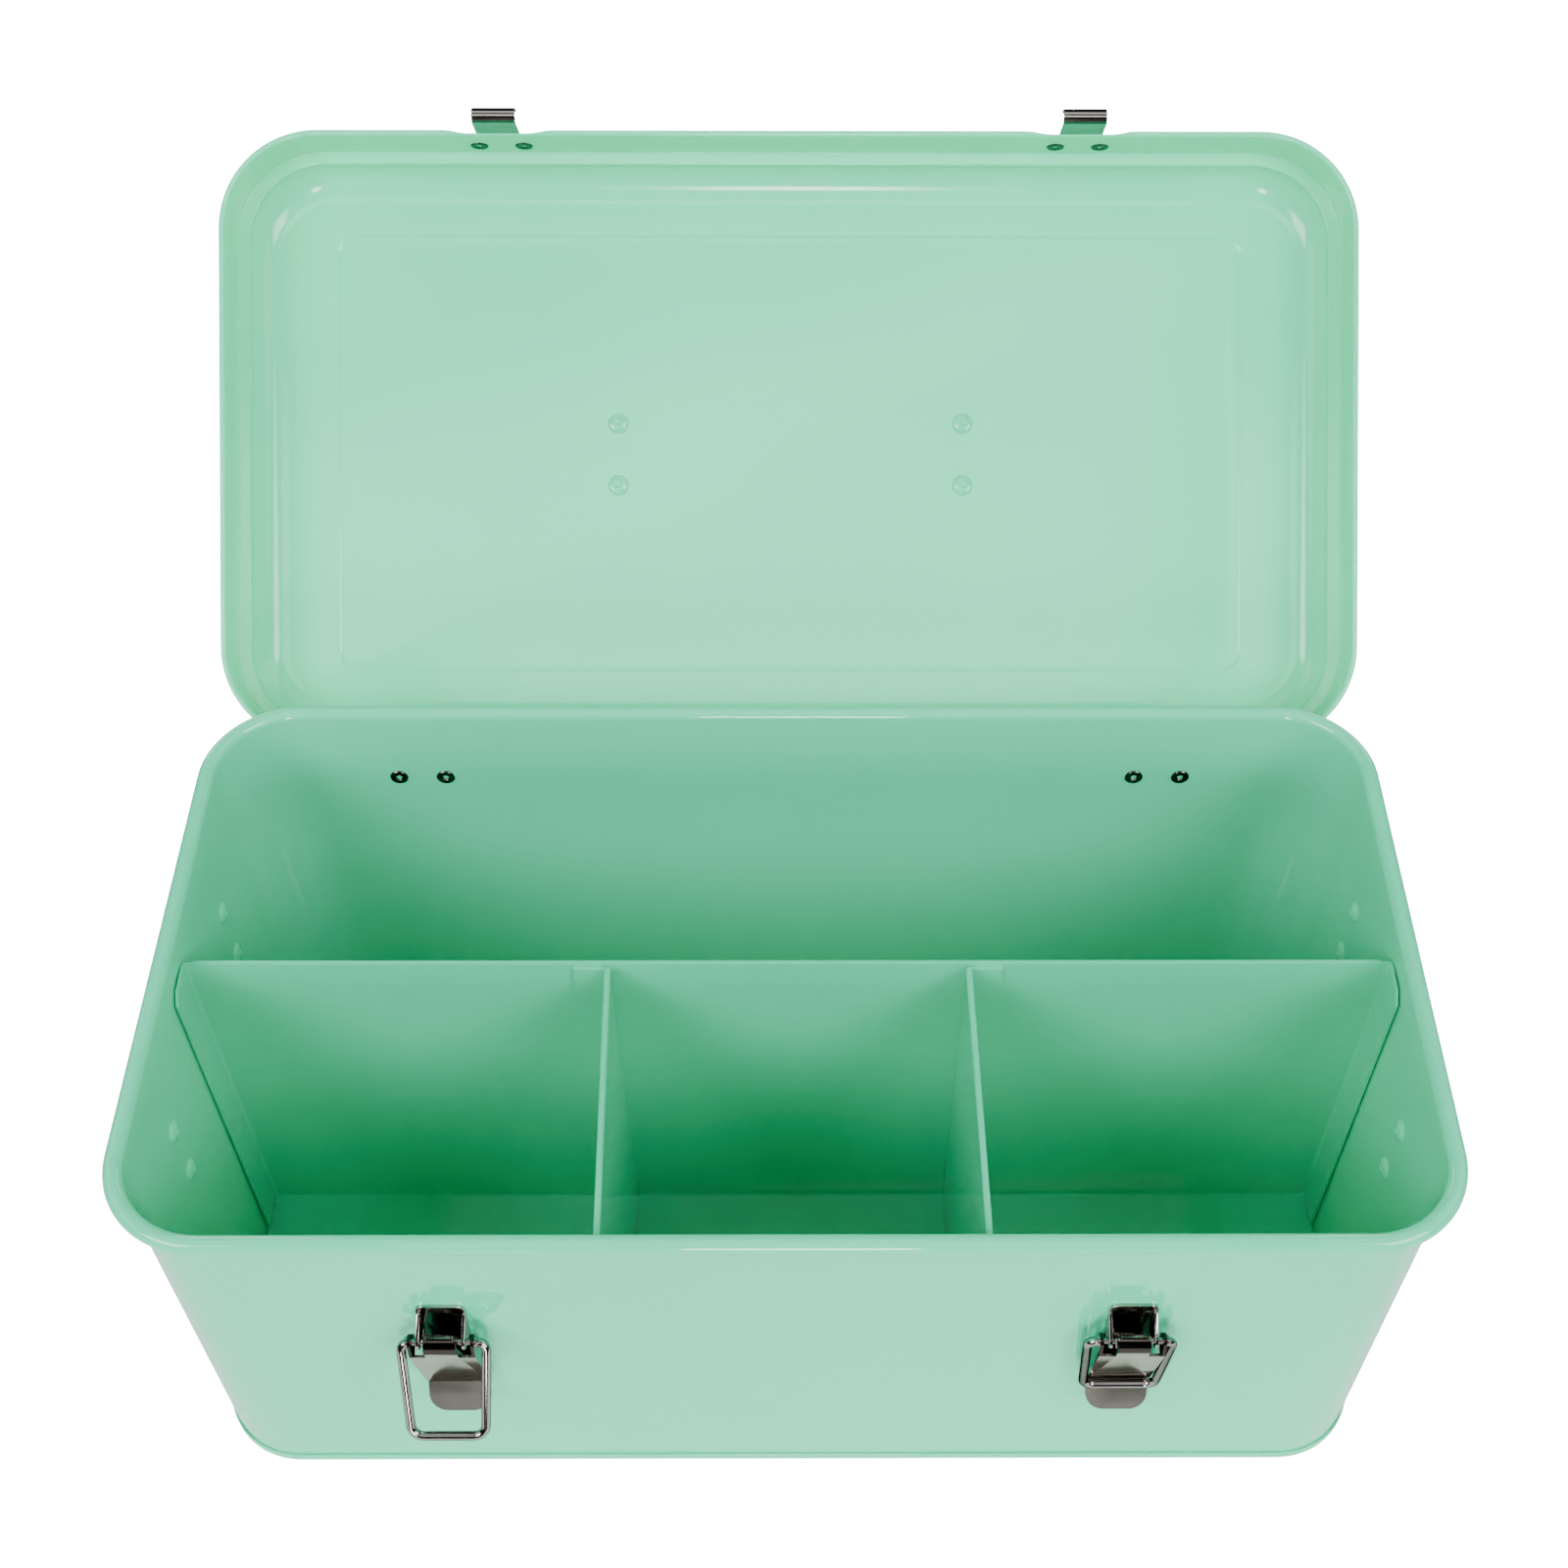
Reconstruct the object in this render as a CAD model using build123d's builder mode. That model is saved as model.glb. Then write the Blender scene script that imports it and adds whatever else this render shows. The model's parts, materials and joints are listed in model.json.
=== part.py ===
from build123d import *
import math
import os

os.makedirs("parts", exist_ok=True)

# ---------------------------------------------------------------- driving dimensions (mm)
BOX_W = 330.0          # over the rolled rim, side to side
BOX_D = 175.0          # over the rolled rim, front to back
BOX_H = 131.0          # base underside to top of the rim
RIM_CORNER = 26.5      # plan radius of the rim's corners
SHEET = 0.6            # body and lid sheet
CURL = 4.8             # diameter of the rolled rim

SEAM_GAP = 0.05        # between the wall and the base pan's lip
PAN_SHEET = 0.6
PAN_LIP = 0.6          # thickness of the lip folded up round the wall
PAN_LIP_H = 3.2
PAN_EDGE = 0.55        # rounding of the pan's lower edge
LIP_EDGE = 0.28        # rounding of the lip's upper edge

INSERT_SHEET = 0.8
INSERT_DROP = 8.5      # top edge of all dividers, below the rim's top
INSERT_CLEAR = 0.6     # insert to the walls
LAY_GAP = 0.05         # between pieces that lie on one another
PANEL_Y = 0.9          # front face of the long divider
BEND = 1.5             # outer radius of the insert's folds
CROSS_SHARE = 0.143    # middle of each cross divider, as a share of the width
LEFT_SKEW = 2.2        # how far the front end of each cross divider stands to the right
RIGHT_SKEW = 1.1
END_FLANGE = 11.5      # long divider's end flanges
FLANGE_CUT = 3.0       # cut corner of the end flanges
HEM_T = 1.7            # thickness of the folded top edges
HEM_H = 7.0
CROSS_FLANGE = 10.0    # cross divider's flange on the long divider
FLANGE_DROP = 1.2      # top of that flange below the top edges
CORNER_CLEAR = 3.0     # cross divider's cut corner, clear of the fold below

LID_SIDE = 0.5         # lid to rim at the sides
LID_FRONT = 0.8
LID_REAR = 0.4
LID_COVER = 14.0       # lower edge of the closed lid, below the rim's top
LID_LEDGE = 0.3        # under the ledge, over the rim
LID_BEAD = 1.8         # diameter of the bead round the lid's lower edge
BEAD_OUT = 1.2         # bead beyond the skirt
BEAD_DIP = 8.0         # run over which the bead is pressed flat beside a fitting
DIP_SPARE = 0.6        # flat run past a hinge's end
LEDGE_IN = 3.7         # ledge's ridge, inward of the skirt's inner face
LEDGE_EDGE = 1.2       # rounding of the ledge's outer edge
DOME_H = 10.0
DOME_R = 9.3
EMBOSS = 0.5           # height of the pressed panel in the lid's top
EMBOSS_IN_X = 29.5     # pressed panel, inward of the bead's edge at the sides
EMBOSS_IN_Y = 23.5     # and at the front and rear
EMBOSS_R = 6.0
EMBOSS_SLOPE = 60      # degrees
OPEN_ANGLE = 140.5     # degrees

RIVET_BORE = 0.9       # hollow rivets, radii
RIVET_SHANK = 1.5
RIVET_FLANGE = 2.6
RIVET_HEAD = 0.6       # head thickness
RIVET_TAIL = 0.5       # rolled tail
FLAT_TAIL = 0.35       # rolled tail where the lid closes over the rim
RIVET_EDGE = 0.2
HOLE_FIT = 0.05
DOME_RIVET_R = 3.1     # painted domed rivets
DOME_RIVET_H = 1.1

HINGE_IN = 56.6        # middle of each hinge, in from the side
HINGE_W = 25.0
HINGE_RIVETS = 13.7    # between the two rivets of a leaf
PIN_BEHIND = 0.7       # hinge line behind the rim
PIN_DROP = 16.3        # hinge line below the rim's top
PIN_R = 1.0
PIN_END = 0.4          # pin past each end of the hinge
FIT = 0.05             # radial clearance of pins
KNUCKLE_R = 2.0
KNUCKLE_GAP = 0.3
LEAF = 0.8             # sheet of hinges, catches and latches
LEAF_BEND = 2.0        # fold of the body leaf
KNUCKLE_LAP = 1.3      # body leaf's end inside the knuckle
BODY_LEAF_FOOT = 16.2  # below the hinge line
BODY_RIVET_DROP = 10.4
KNEE_DROP = 5.7
LID_LEAF_FOOT = 1.5    # above the lid's lower edge
LID_RIVET_UP = 5.3
LID_LEAF_UP = 10.5
NECK_FOOT = 0.6        # middle knuckle's neck above the hinge line
NECK_H = 5.0

LATCH_IN = 78.5        # middle of each latch, in from the side
A_OUT = 5.8            # lever pin, out from the wall
A_DROP = 45.0          # lever pin below the rim's top
P_OUT = 4.6            # bail pivot, out from the wall
P_LOW = 2.8            # bail pivot below the lever pin
LEVER_PIN_R = 0.8
PIN_HEAD_R = 1.4
PIN_HEAD_T = 0.7
PIN_HEAD_GAP = 0.1
BRACKET_LOW = 26.0     # bracket's foot below the lever pin
BRACKET_UP = 8.6       # bracket's top above it
BRACKET_R = 2.0
BRACKET_RIVETS = (10.0, 20.0)   # below the lever pin
EAR_IN = 5.3           # inner face of the bracket's ears, from the middle
EAR_R = 1.95
EAR_ROOT = 10.0
LEVER_EAR_IN = 7.5     # inner face of the lever's ears
LEVER_HALF = 8.3       # half width of the lever's plate
A_LUG_R = 1.9          # lever's ears round the lever pin
P_LUG_R = 2.2          # and round the bail's wire
LUG_FOOT = 3.0         # ears' foot along the plate
HOOD_R = 3.3
HOOD_HALF = 4.1
HOOD_EDGE = 15         # hood's upper edge in degrees, forward of the pin
HOOD_LAP = 0.25
HOOD_CORNER = 1.5      # rounding of the hood's free edge
PLATE_LOW = 4.0        # top of the lever's wide plate below the pin
BEND_OUT = 1.8         # plate's lower fold, out from the wall
BEND_LOW = 31.5        # and below the lever pin
TAB_ANGLE = math.atan2(5.0, 7.0)
TAB_LEN = 8.6
TAB_R = 4.8
TAB_IN = 0.2           # tab narrower than the plate, each side

BAIL_R = 1.2           # wire radius
BAIL_TOP_X = 10.85     # half widths of the bail at its pivot and at its bar
BAIL_BAR_X = 9.4
BAIL_TOP_BEND = 2.4
BAIL_BAR_BEND = 3.2
BAIL_STUB = 0.3        # wire past the inner face of the lever's ears
LEFT_SWING = 33.0      # rest swing of each bail in degrees, from hanging
RIGHT_SWING = -2.1

CATCH_IN = 79.5        # middle of each catch, in from the side
CATCH_W = 12.6
CATCH_TOP_W = 20.0
CATCH_TOP_H = 9.0
CATCH_TOP_R = 1.5
CATCH_RIVETS = 13.2
CATCH_RIVET_UP = 9.0   # above the lid's lower edge
J_LOW = 6.6            # hook's centre below the lid's lower edge
J_ROOM = 0.45          # radial room of the wire in the hook
J_SEAT = 0.2           # how far the latched wire sits below the hook's centre
J_LIP = 1.2

COIL_R = 1.5
COIL_WIRE = 0.5        # diameter
COIL_PITCH = 0.75
COIL_TURNS = 10
COIL_LEG = 4.4         # leg against the bracket
COIL_LEVER_LEG = 9.0   # leg against the lever
COIL_START = -4.5
COIL_LEG_ANGLE = 120   # degrees

HANDLE_R = 2.0
HANDLE_OFF = 2.6       # wire axis off the surface
HANDLE_CORNER = 9.0
HANDLE_BEND = 2.6      # bend at the saddle
HANDLE_TAPER = 2.0     # each leg leans in this far
HANDLE_TIP = 1.2       # wire past the saddle's inner end
SADDLE_W = 10.0
SADDLE_T = 1.0
SADDLE_RIVETS = 18.8
SADDLE_FOOT = 4.6      # strap past each rivet
SADDLE_FIT = 0.08
LID_SADDLE_X = 52.5
LID_LEG_X = 60.5
LID_HANDLE = 34.0
SIDE_SADDLE_Y = 36.0
SIDE_LEG_Y = 44.0
SIDE_HANDLE = 30.0
SIDE_HANDLE_DROP = 41.25

# ---------------------------------------------------------------- values that follow
WALL_X = BOX_W / 2 - CURL + SHEET
WALL_Y = BOX_D / 2 - CURL + SHEET
WALL_R = RIM_CORNER - CURL + SHEET
WALL_Z0 = PAN_SHEET + SEAM_GAP
RIM_Z = BOX_H - CURL / 2
FLOOR_Z = PAN_SHEET + LAY_GAP
STAND_Z = FLOOR_Z + INSERT_SHEET + LAY_GAP
INSERT_TOP = BOX_H - INSERT_DROP
HEM_FOOT = INSERT_TOP - HEM_H
PANEL_REAR = PANEL_Y + INSERT_SHEET
INSERT_X = WALL_X - SHEET - INSERT_CLEAR
INSERT_FRONT = -(WALL_Y - SHEET - INSERT_CLEAR)
INSERT_R = WALL_R - SHEET - INSERT_CLEAR
CROSS_X = CROSS_SHARE * BOX_W

LID_Y = (LID_REAR - LID_FRONT) / 2
LID_HEM_Z = BOX_H - LID_COVER
SKIRT_X = BOX_W / 2 + LID_SIDE
SKIRT_Y = BOX_D / 2 + (LID_FRONT + LID_REAR) / 2
SKIRT_R = RIM_CORNER + LID_SIDE
LEDGE_Z = BOX_H + LID_LEDGE
DOME_TOP = LEDGE_Z + SHEET + DOME_H
SKIRT_REAR = LID_Y + SKIRT_Y + SHEET
SKIRT_FRONT = LID_Y - SKIRT_Y - SHEET
EMBOSS_X = SKIRT_X + SHEET + BEAD_OUT - EMBOSS_IN_X
EMBOSS_Y = SKIRT_Y + SHEET + BEAD_OUT - EMBOSS_IN_Y
PANEL_TOP = DOME_TOP + EMBOSS

SHANK_HOLE = RIVET_SHANK + HOLE_FIT
HINGE_X = BOX_W / 2 - HINGE_IN
PIN_Y = BOX_D / 2 + PIN_BEHIND
PIN_Z = BOX_H - PIN_DROP
HINGE_RIVET_Z = PIN_Z - BODY_RIVET_DROP
LID_RIVET_Z = LID_HEM_Z + LID_RIVET_UP
KNUCKLE_W = (HINGE_W - 2 * KNUCKLE_GAP) / 3

LATCH_X = BOX_W / 2 - LATCH_IN
A_Z = BOX_H - A_DROP
P_Z = A_Z - P_LOW
BEND_Z = A_Z - BEND_LOW
PLATE_TOP = A_Z - PLATE_LOW
LATCH_RIVET_Z = [A_Z - drop for drop in BRACKET_RIVETS]
CATCH_X = BOX_W / 2 - CATCH_IN
CATCH_RIVET_Z = LID_HEM_Z + CATCH_RIVET_UP
J_IN = BAIL_R + J_ROOM
J_OUT = J_IN + LEAF
J_Y = SKIRT_FRONT - LEAF - J_IN
J_Z = LID_HEM_Z - J_LOW
BAIL_LEN = math.hypot(-J_Y - WALL_Y - P_OUT, J_Z - J_SEAT - P_Z)
SIDE_HANDLE_Z = BOX_H - SIDE_HANDLE_DROP

hinge_rivet_x = [s * HINGE_X + d * HINGE_RIVETS / 2 for s in (-1, 1) for d in (-1, 1)]
catch_rivet_x = [s * CATCH_X + d * CATCH_RIVETS / 2 for s in (-1, 1) for d in (-1, 1)]
side_rivets = [(y, SIDE_HANDLE_Z + d * SADDLE_RIVETS / 2)
               for y in (-SIDE_SADDLE_Y, SIDE_SADDLE_Y) for d in (-1, 1)]


def place(out, z):
    """Point of the front wall's (y, z) plane that lies out from the wall."""
    return (-WALL_Y - out, z)


def loop(half_x, half_y, radius, y, z):
    """Rounded rectangle in plan, starting at the middle of the front."""
    straight_x = half_x - radius
    straight_y = half_y - radius
    with BuildLine(Plane((0, y, z))) as line:
        Line((0, -half_y), (straight_x, -half_y))
        JernArc((straight_x, -half_y), (1, 0), radius, 90)
        Line((half_x, -straight_y), (half_x, straight_y))
        JernArc((half_x, straight_y), (0, 1), radius, 90)
        Line((straight_x, half_y), (-straight_x, half_y))
        JernArc((-straight_x, half_y), (-1, 0), radius, 90)
        Line((-half_x, straight_y), (-half_x, -straight_y))
        JernArc((-half_x, -straight_y), (0, -1), radius, 90)
        Line((-straight_x, -half_y), (0, -half_y))
    return line.line


def sheet_face(points, thickness, radius, side=Side.LEFT):
    """Edge-on view of a bent sheet; the points run along one of its faces."""
    with BuildLine() as outline:
        FilletPolyline(*points, radius=radius)
        offset(amount=thickness, side=side)
    return make_face(outline.edges(), mode=Mode.PRIVATE)


def turned(origin, axis, outline):
    """Turn an outline of (along, radius) corners about an axis through origin."""
    across = (1, 0, 0) if abs(axis[0]) < 0.5 else (0, 0, 1)
    with BuildPart() as solid:
        with BuildSketch(Plane(origin=origin, x_dir=axis, z_dir=across)):
            with BuildLine():
                Polyline(*outline, close=True)
            make_face()
        revolve(axis=Axis(origin, axis))
    return solid.part


def tube_rivet(origin, axis, grip, tail=RIVET_TAIL):
    """Hollow rivet with a rolled tail; origin on the near face, the grip behind it."""
    far = -grip - tail
    mouth = RIVET_BORE + RIVET_EDGE
    rim = RIVET_FLANGE - RIVET_EDGE
    return turned(origin, axis, [
        (far, mouth), (far, rim), (far + RIVET_EDGE, RIVET_FLANGE), (-grip, RIVET_FLANGE),
        (-grip, RIVET_SHANK), (0, RIVET_SHANK), (0, RIVET_FLANGE),
        (RIVET_HEAD - RIVET_EDGE, RIVET_FLANGE), (RIVET_HEAD, rim), (RIVET_HEAD, mouth),
        (RIVET_HEAD - RIVET_EDGE, RIVET_BORE), (far + RIVET_EDGE, RIVET_BORE),
    ])


def dome_rivet(origin, axis, grip):
    """Low domed rivet with a dimple in each head; origin on the near face."""
    shape = [(0, 1), (0.32, 0.97), (0.68, 0.81), (0.95, 0.55), (1, 0.35), (0.73, 0.16), (0.64, 0)]
    head = [(DOME_RIVET_H * up, DOME_RIVET_R * out) for up, out in shape]
    near = [(0, RIVET_SHANK)] + head
    far = [(-grip - up, out) for up, out in reversed(head)] + [(-grip, RIVET_SHANK)]
    return turned(origin, axis, near + far)


def swung_open(part):
    """A lid piece, drawn closed, turned to the open lid."""
    return part.rotate(Axis((0, PIN_Y, PIN_Z), (1, 0, 0)), -OPEN_ANGLE)


# ---------------------------------------------------------------- box body
# One strip of sheet, rolled outward over itself at the top. The roll is drawn filled.
with BuildPart() as body_shell:
    wall_path = loop(WALL_X, WALL_Y, WALL_R, 0, 0)
    curl_cut = RIM_Z - math.sqrt((CURL / 2) ** 2 - (CURL / 2 - SHEET) ** 2)
    with BuildSketch(Plane(origin=(0, 0, 0), x_dir=(0, -1, 0), z_dir=(-1, 0, 0))):
        with BuildLine():
            Polyline((WALL_Y, curl_cut), (WALL_Y, WALL_Z0), (WALL_Y - SHEET, WALL_Z0),
                     (WALL_Y - SHEET, RIM_Z))
            ThreePointArc((WALL_Y, curl_cut), (BOX_D / 2, RIM_Z), (WALL_Y - SHEET, RIM_Z))
        make_face()
    sweep(path=wall_path)
    with BuildSketch(Plane.XZ.offset(-WALL_Y - 1)):
        with Locations(*[(x, HINGE_RIVET_Z) for x in hinge_rivet_x]):
            Circle(SHANK_HOLE)
    extrude(amount=SHEET + 2, mode=Mode.SUBTRACT)
    with BuildSketch(Plane.XZ.offset(WALL_Y + 1)):
        with Locations(*[(s * LATCH_X, z) for s in (-1, 1) for z in LATCH_RIVET_Z]):
            Circle(SHANK_HOLE)
    extrude(amount=-SHEET - 2, mode=Mode.SUBTRACT)
    with BuildSketch(Plane.YZ):
        with Locations(*side_rivets):
            Circle(SHANK_HOLE)
    extrude(amount=WALL_X + 1, both=True, mode=Mode.SUBTRACT)

# The pan closes the bottom; its lip is pressed up round the foot of the wall.
with BuildPart() as base_pan:
    lip_in = SEAM_GAP
    with BuildSketch(Plane.XY):
        RectangleRounded(2 * (WALL_X + lip_in + PAN_LIP), 2 * (WALL_Y + lip_in + PAN_LIP),
                         WALL_R + lip_in + PAN_LIP)
    extrude(amount=PAN_LIP_H)
    with BuildSketch(Plane.XY.offset(PAN_SHEET)):
        RectangleRounded(2 * (WALL_X + lip_in), 2 * (WALL_Y + lip_in), WALL_R + lip_in)
    extrude(amount=PAN_LIP_H, mode=Mode.SUBTRACT)
    outer_low = base_pan.faces().sort_by(Axis.Z)[0].edges()
    fillet(outer_low, radius=PAN_EDGE)
    fillet(base_pan.faces().sort_by(Axis.Z)[-1].edges(), radius=LIP_EDGE)

# ---------------------------------------------------------------- divider insert
# Floor sheet that folds up into the long divider, with a flange at each end and a folded
# top edge. It stands loose in the box.
with BuildPart() as divider_long:
    with BuildSketch(Plane.XY.offset(FLOOR_Z)):
        with BuildLine():
            Line((-INSERT_X, -BEND), (-INSERT_X, INSERT_FRONT + INSERT_R))
            RadiusArc((-INSERT_X, INSERT_FRONT + INSERT_R),
                      (-INSERT_X + INSERT_R, INSERT_FRONT), -INSERT_R)
            Line((-INSERT_X + INSERT_R, INSERT_FRONT), (INSERT_X - INSERT_R, INSERT_FRONT))
            RadiusArc((INSERT_X - INSERT_R, INSERT_FRONT),
                      (INSERT_X, INSERT_FRONT + INSERT_R), -INSERT_R)
            Polyline((INSERT_X, INSERT_FRONT + INSERT_R), (INSERT_X, -BEND),
                     (-INSERT_X, -BEND))
        make_face()
    extrude(amount=INSERT_SHEET)
    with BuildSketch(Plane.YZ):
        add(sheet_face([(-2 * BEND, FLOOR_Z), (PANEL_REAR, FLOOR_Z), (PANEL_REAR, HEM_FOOT)],
                       INSERT_SHEET, BEND))
    extrude(amount=INSERT_X - BEND, both=True)
    with BuildSketch(Plane.XY.offset(STAND_Z + BEND)):
        add(sheet_face([(-INSERT_X, PANEL_Y - END_FLANGE), (-INSERT_X, PANEL_REAR),
                        (INSERT_X, PANEL_REAR), (INSERT_X, PANEL_Y - END_FLANGE)],
                       INSERT_SHEET, BEND, Side.RIGHT))
    extrude(amount=INSERT_TOP - STAND_Z - BEND)
    flange_tips = (divider_long.edges().filter_by(Axis.X).group_by(Axis.Z)[-1]
                   .group_by(Axis.Y)[0])
    chamfer(flange_tips, length=FLANGE_CUT)
    with BuildSketch(Plane.YZ):
        with BuildLine():
            Polyline((PANEL_Y, INSERT_TOP - HEM_T / 2), (PANEL_Y, INSERT_TOP - HEM_H),
                     (PANEL_Y + HEM_T, INSERT_TOP - HEM_H),
                     (PANEL_Y + HEM_T, INSERT_TOP - HEM_T / 2))
            ThreePointArc((PANEL_Y + HEM_T, INSERT_TOP - HEM_T / 2),
                          (PANEL_Y + HEM_T / 2, INSERT_TOP), (PANEL_Y, INSERT_TOP - HEM_T / 2))
        make_face()
    extrude(amount=INSERT_X - 2 * BEND, both=True)


def cross_divider(side, skew):
    """Cross divider with a folded top and a rear flange; side is -1 or 1. Its front end
    stands skew to the right of its rear end."""
    with BuildPart() as piece:
        rear = PANEL_Y - LAY_GAP
        inner_x = side * (CROSS_X - INSERT_SHEET / 2)
        turn_side = Side.RIGHT if side > 0 else Side.LEFT
        flange_end = inner_x + side * CROSS_FLANGE
        with BuildSketch(Plane.XY.offset(STAND_Z)):
            add(sheet_face([(inner_x + skew, INSERT_FRONT), (inner_x, rear), (flange_end, rear)],
                           INSERT_SHEET, BEND, turn_side))
        extrude(amount=HEM_FOOT - STAND_Z)
        with BuildSketch(Plane.YZ):
            Polygon((rear + 1, STAND_Z - 1), (rear - CORNER_CLEAR, STAND_Z - 1),
                    (rear - CORNER_CLEAR, STAND_Z), (rear - INSERT_SHEET, STAND_Z + BEND),
                    (rear + 1, STAND_Z + BEND), align=None)
        extrude(amount=side * (CROSS_X + 2 * CROSS_FLANGE), mode=Mode.SUBTRACT)
        run = Vector(-skew, rear - INSERT_FRONT, 0)
        hem = Plane(origin=Vector(inner_x, rear, 0) - run.normalized(), x_dir=(0, 0, 1),
                    z_dir=run * -1)
        across = side * (1 if hem.y_dir.X > 0 else -1)
        with BuildSketch(hem):
            with Locations((HEM_FOOT + (HEM_H - HEM_T / 2) / 2, across * HEM_T / 2)):
                Rectangle(HEM_H - HEM_T / 2, HEM_T)
            with Locations((INSERT_TOP - HEM_T / 2, across * HEM_T / 2)):
                Circle(HEM_T / 2)
        extrude(amount=run.length - 1)
        flange_x = inner_x + side * (HEM_T + LAY_GAP)
        with BuildSketch(Plane.XZ.offset(-rear)):
            Polygon((flange_x, HEM_FOOT - 1), (flange_end, HEM_FOOT - 1),
                    (flange_end, INSERT_TOP - FLANGE_DROP), (flange_x, INSERT_TOP - FLANGE_DROP),
                    align=None)
        extrude(amount=INSERT_SHEET)
    return piece


cross_divider_left = cross_divider(-1, LEFT_SKEW)

cross_divider_right = cross_divider(1, RIGHT_SKEW)

# ---------------------------------------------------------------- hinges
def body_leaf(x):
    """Leaf on the rear wall with the two outer knuckles."""
    with BuildPart() as piece:
        foot = [(WALL_Y, PIN_Z - BODY_LEAF_FOOT), (WALL_Y, PIN_Z - KNEE_DROP),
                (PIN_Y - KNUCKLE_LAP, PIN_Z - KNUCKLE_LAP / 2)]
        with BuildSketch(Plane.YZ.offset(x)):
            add(sheet_face(foot, LEAF, LEAF_BEND, Side.RIGHT))
            with Locations((PIN_Y, PIN_Z)):
                Circle(KNUCKLE_R)
        extrude(amount=HINGE_W / 2, both=True)
        with BuildSketch(Plane.YZ.offset(x)):
            with Locations((PIN_Y, PIN_Z)):
                Circle(KNUCKLE_R + KNUCKLE_GAP)
        extrude(amount=KNUCKLE_W / 2 + KNUCKLE_GAP, both=True, mode=Mode.SUBTRACT)
        with BuildSketch(Plane.YZ.offset(x)):
            with Locations((PIN_Y, PIN_Z)):
                Circle(PIN_R + FIT)
        extrude(amount=HINGE_W, both=True, mode=Mode.SUBTRACT)
        with BuildSketch(Plane.XZ.offset(-WALL_Y + 1)):
            with Locations(*[(x + d * HINGE_RIVETS / 2, HINGE_RIVET_Z) for d in (-1, 1)]):
                Circle(SHANK_HOLE)
        extrude(amount=-LEAF - 2, mode=Mode.SUBTRACT)
    return piece


def lid_leaf(x):
    """Leaf on the lid's rear skirt with the middle knuckle, drawn closed."""
    with BuildPart() as piece:
        with BuildSketch(Plane.YZ.offset(x)):
            with Locations((SKIRT_REAR + LEAF / 2, LID_HEM_Z + LID_LEAF_FOOT)):
                Rectangle(LEAF, LID_LEAF_UP - LID_LEAF_FOOT, align=(Align.CENTER, Align.MIN))
        extrude(amount=HINGE_W / 2, both=True)
        with BuildSketch(Plane.YZ.offset(x)):
            with Locations((SKIRT_REAR + LEAF / 2, PIN_Z + NECK_FOOT)):
                Rectangle(LEAF, NECK_H, align=(Align.CENTER, Align.MIN))
            with Locations((PIN_Y, PIN_Z)):
                Circle(KNUCKLE_R)
                Circle(PIN_R + FIT, mode=Mode.SUBTRACT)
        extrude(amount=KNUCKLE_W / 2, both=True)
        with BuildSketch(Plane.XZ.offset(-SKIRT_REAR + 1)):
            with Locations(*[(x + d * HINGE_RIVETS / 2, LID_RIVET_Z) for d in (-1, 1)]):
                Circle(SHANK_HOLE)
        extrude(amount=-LEAF - 2, mode=Mode.SUBTRACT)
    return piece


hinge_left_body_leaf = body_leaf(-HINGE_X)

hinge_right_body_leaf = body_leaf(HINGE_X)

hinge_left_lid_leaf = lid_leaf(-HINGE_X)

hinge_right_lid_leaf = lid_leaf(HINGE_X)


def hinge_pin(x):
    """Pin through the three knuckles of a hinge."""
    with BuildPart() as piece:
        with BuildSketch(Plane.YZ.offset(x)):
            with Locations((PIN_Y, PIN_Z)):
                Circle(PIN_R)
        extrude(amount=HINGE_W / 2 + PIN_END, both=True)
    return piece


hinge_left_pin = hinge_pin(-HINGE_X)

hinge_right_pin = hinge_pin(HINGE_X)

with BuildPart() as hinge_body_rivets:
    for rivet_x in hinge_rivet_x:
        add(tube_rivet((rivet_x, WALL_Y + LEAF, HINGE_RIVET_Z), (0, 1, 0), LEAF + SHEET))

with BuildPart() as hinge_lid_rivets:
    for rivet_x in hinge_rivet_x:
        add(tube_rivet((rivet_x, SKIRT_REAR + LEAF, LID_RIVET_Z), (0, 1, 0),
                       LEAF + SHEET, FLAT_TAIL))

# ---------------------------------------------------------------- lid
# Outside of the pressed lid: skirt, ledge, domed top and the shallow pressed panel.
with BuildPart() as lid_shell:
    with BuildSketch(Plane((0, LID_Y, LID_HEM_Z + 0.3))):
        RectangleRounded(2 * (SKIRT_X + SHEET), 2 * (SKIRT_Y + SHEET), SKIRT_R + SHEET)
    extrude(amount=LEDGE_Z + SHEET - LID_HEM_Z - 0.3)
    shoulder = lid_shell.faces().sort_by(Axis.Z)[-1].edges()
    fillet(shoulder, radius=LEDGE_EDGE)
    with BuildSketch(Plane((0, LID_Y, LEDGE_Z - 1))):
        RectangleRounded(2 * (SKIRT_X - LEDGE_IN + SHEET), 2 * (SKIRT_Y - LEDGE_IN + SHEET),
                         SKIRT_R - LEDGE_IN + SHEET)
    extrude(amount=DOME_TOP - LEDGE_Z + 1)
    dome_edge = lid_shell.faces().sort_by(Axis.Z)[-1].edges()
    fillet(dome_edge, radius=DOME_R + SHEET)
    with BuildSketch(Plane((0, LID_Y, DOME_TOP - 0.1))):
        RectangleRounded(2 * EMBOSS_X, 2 * EMBOSS_Y, EMBOSS_R)
    extrude(amount=EMBOSS + 0.1, taper=EMBOSS_SLOPE)

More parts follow.
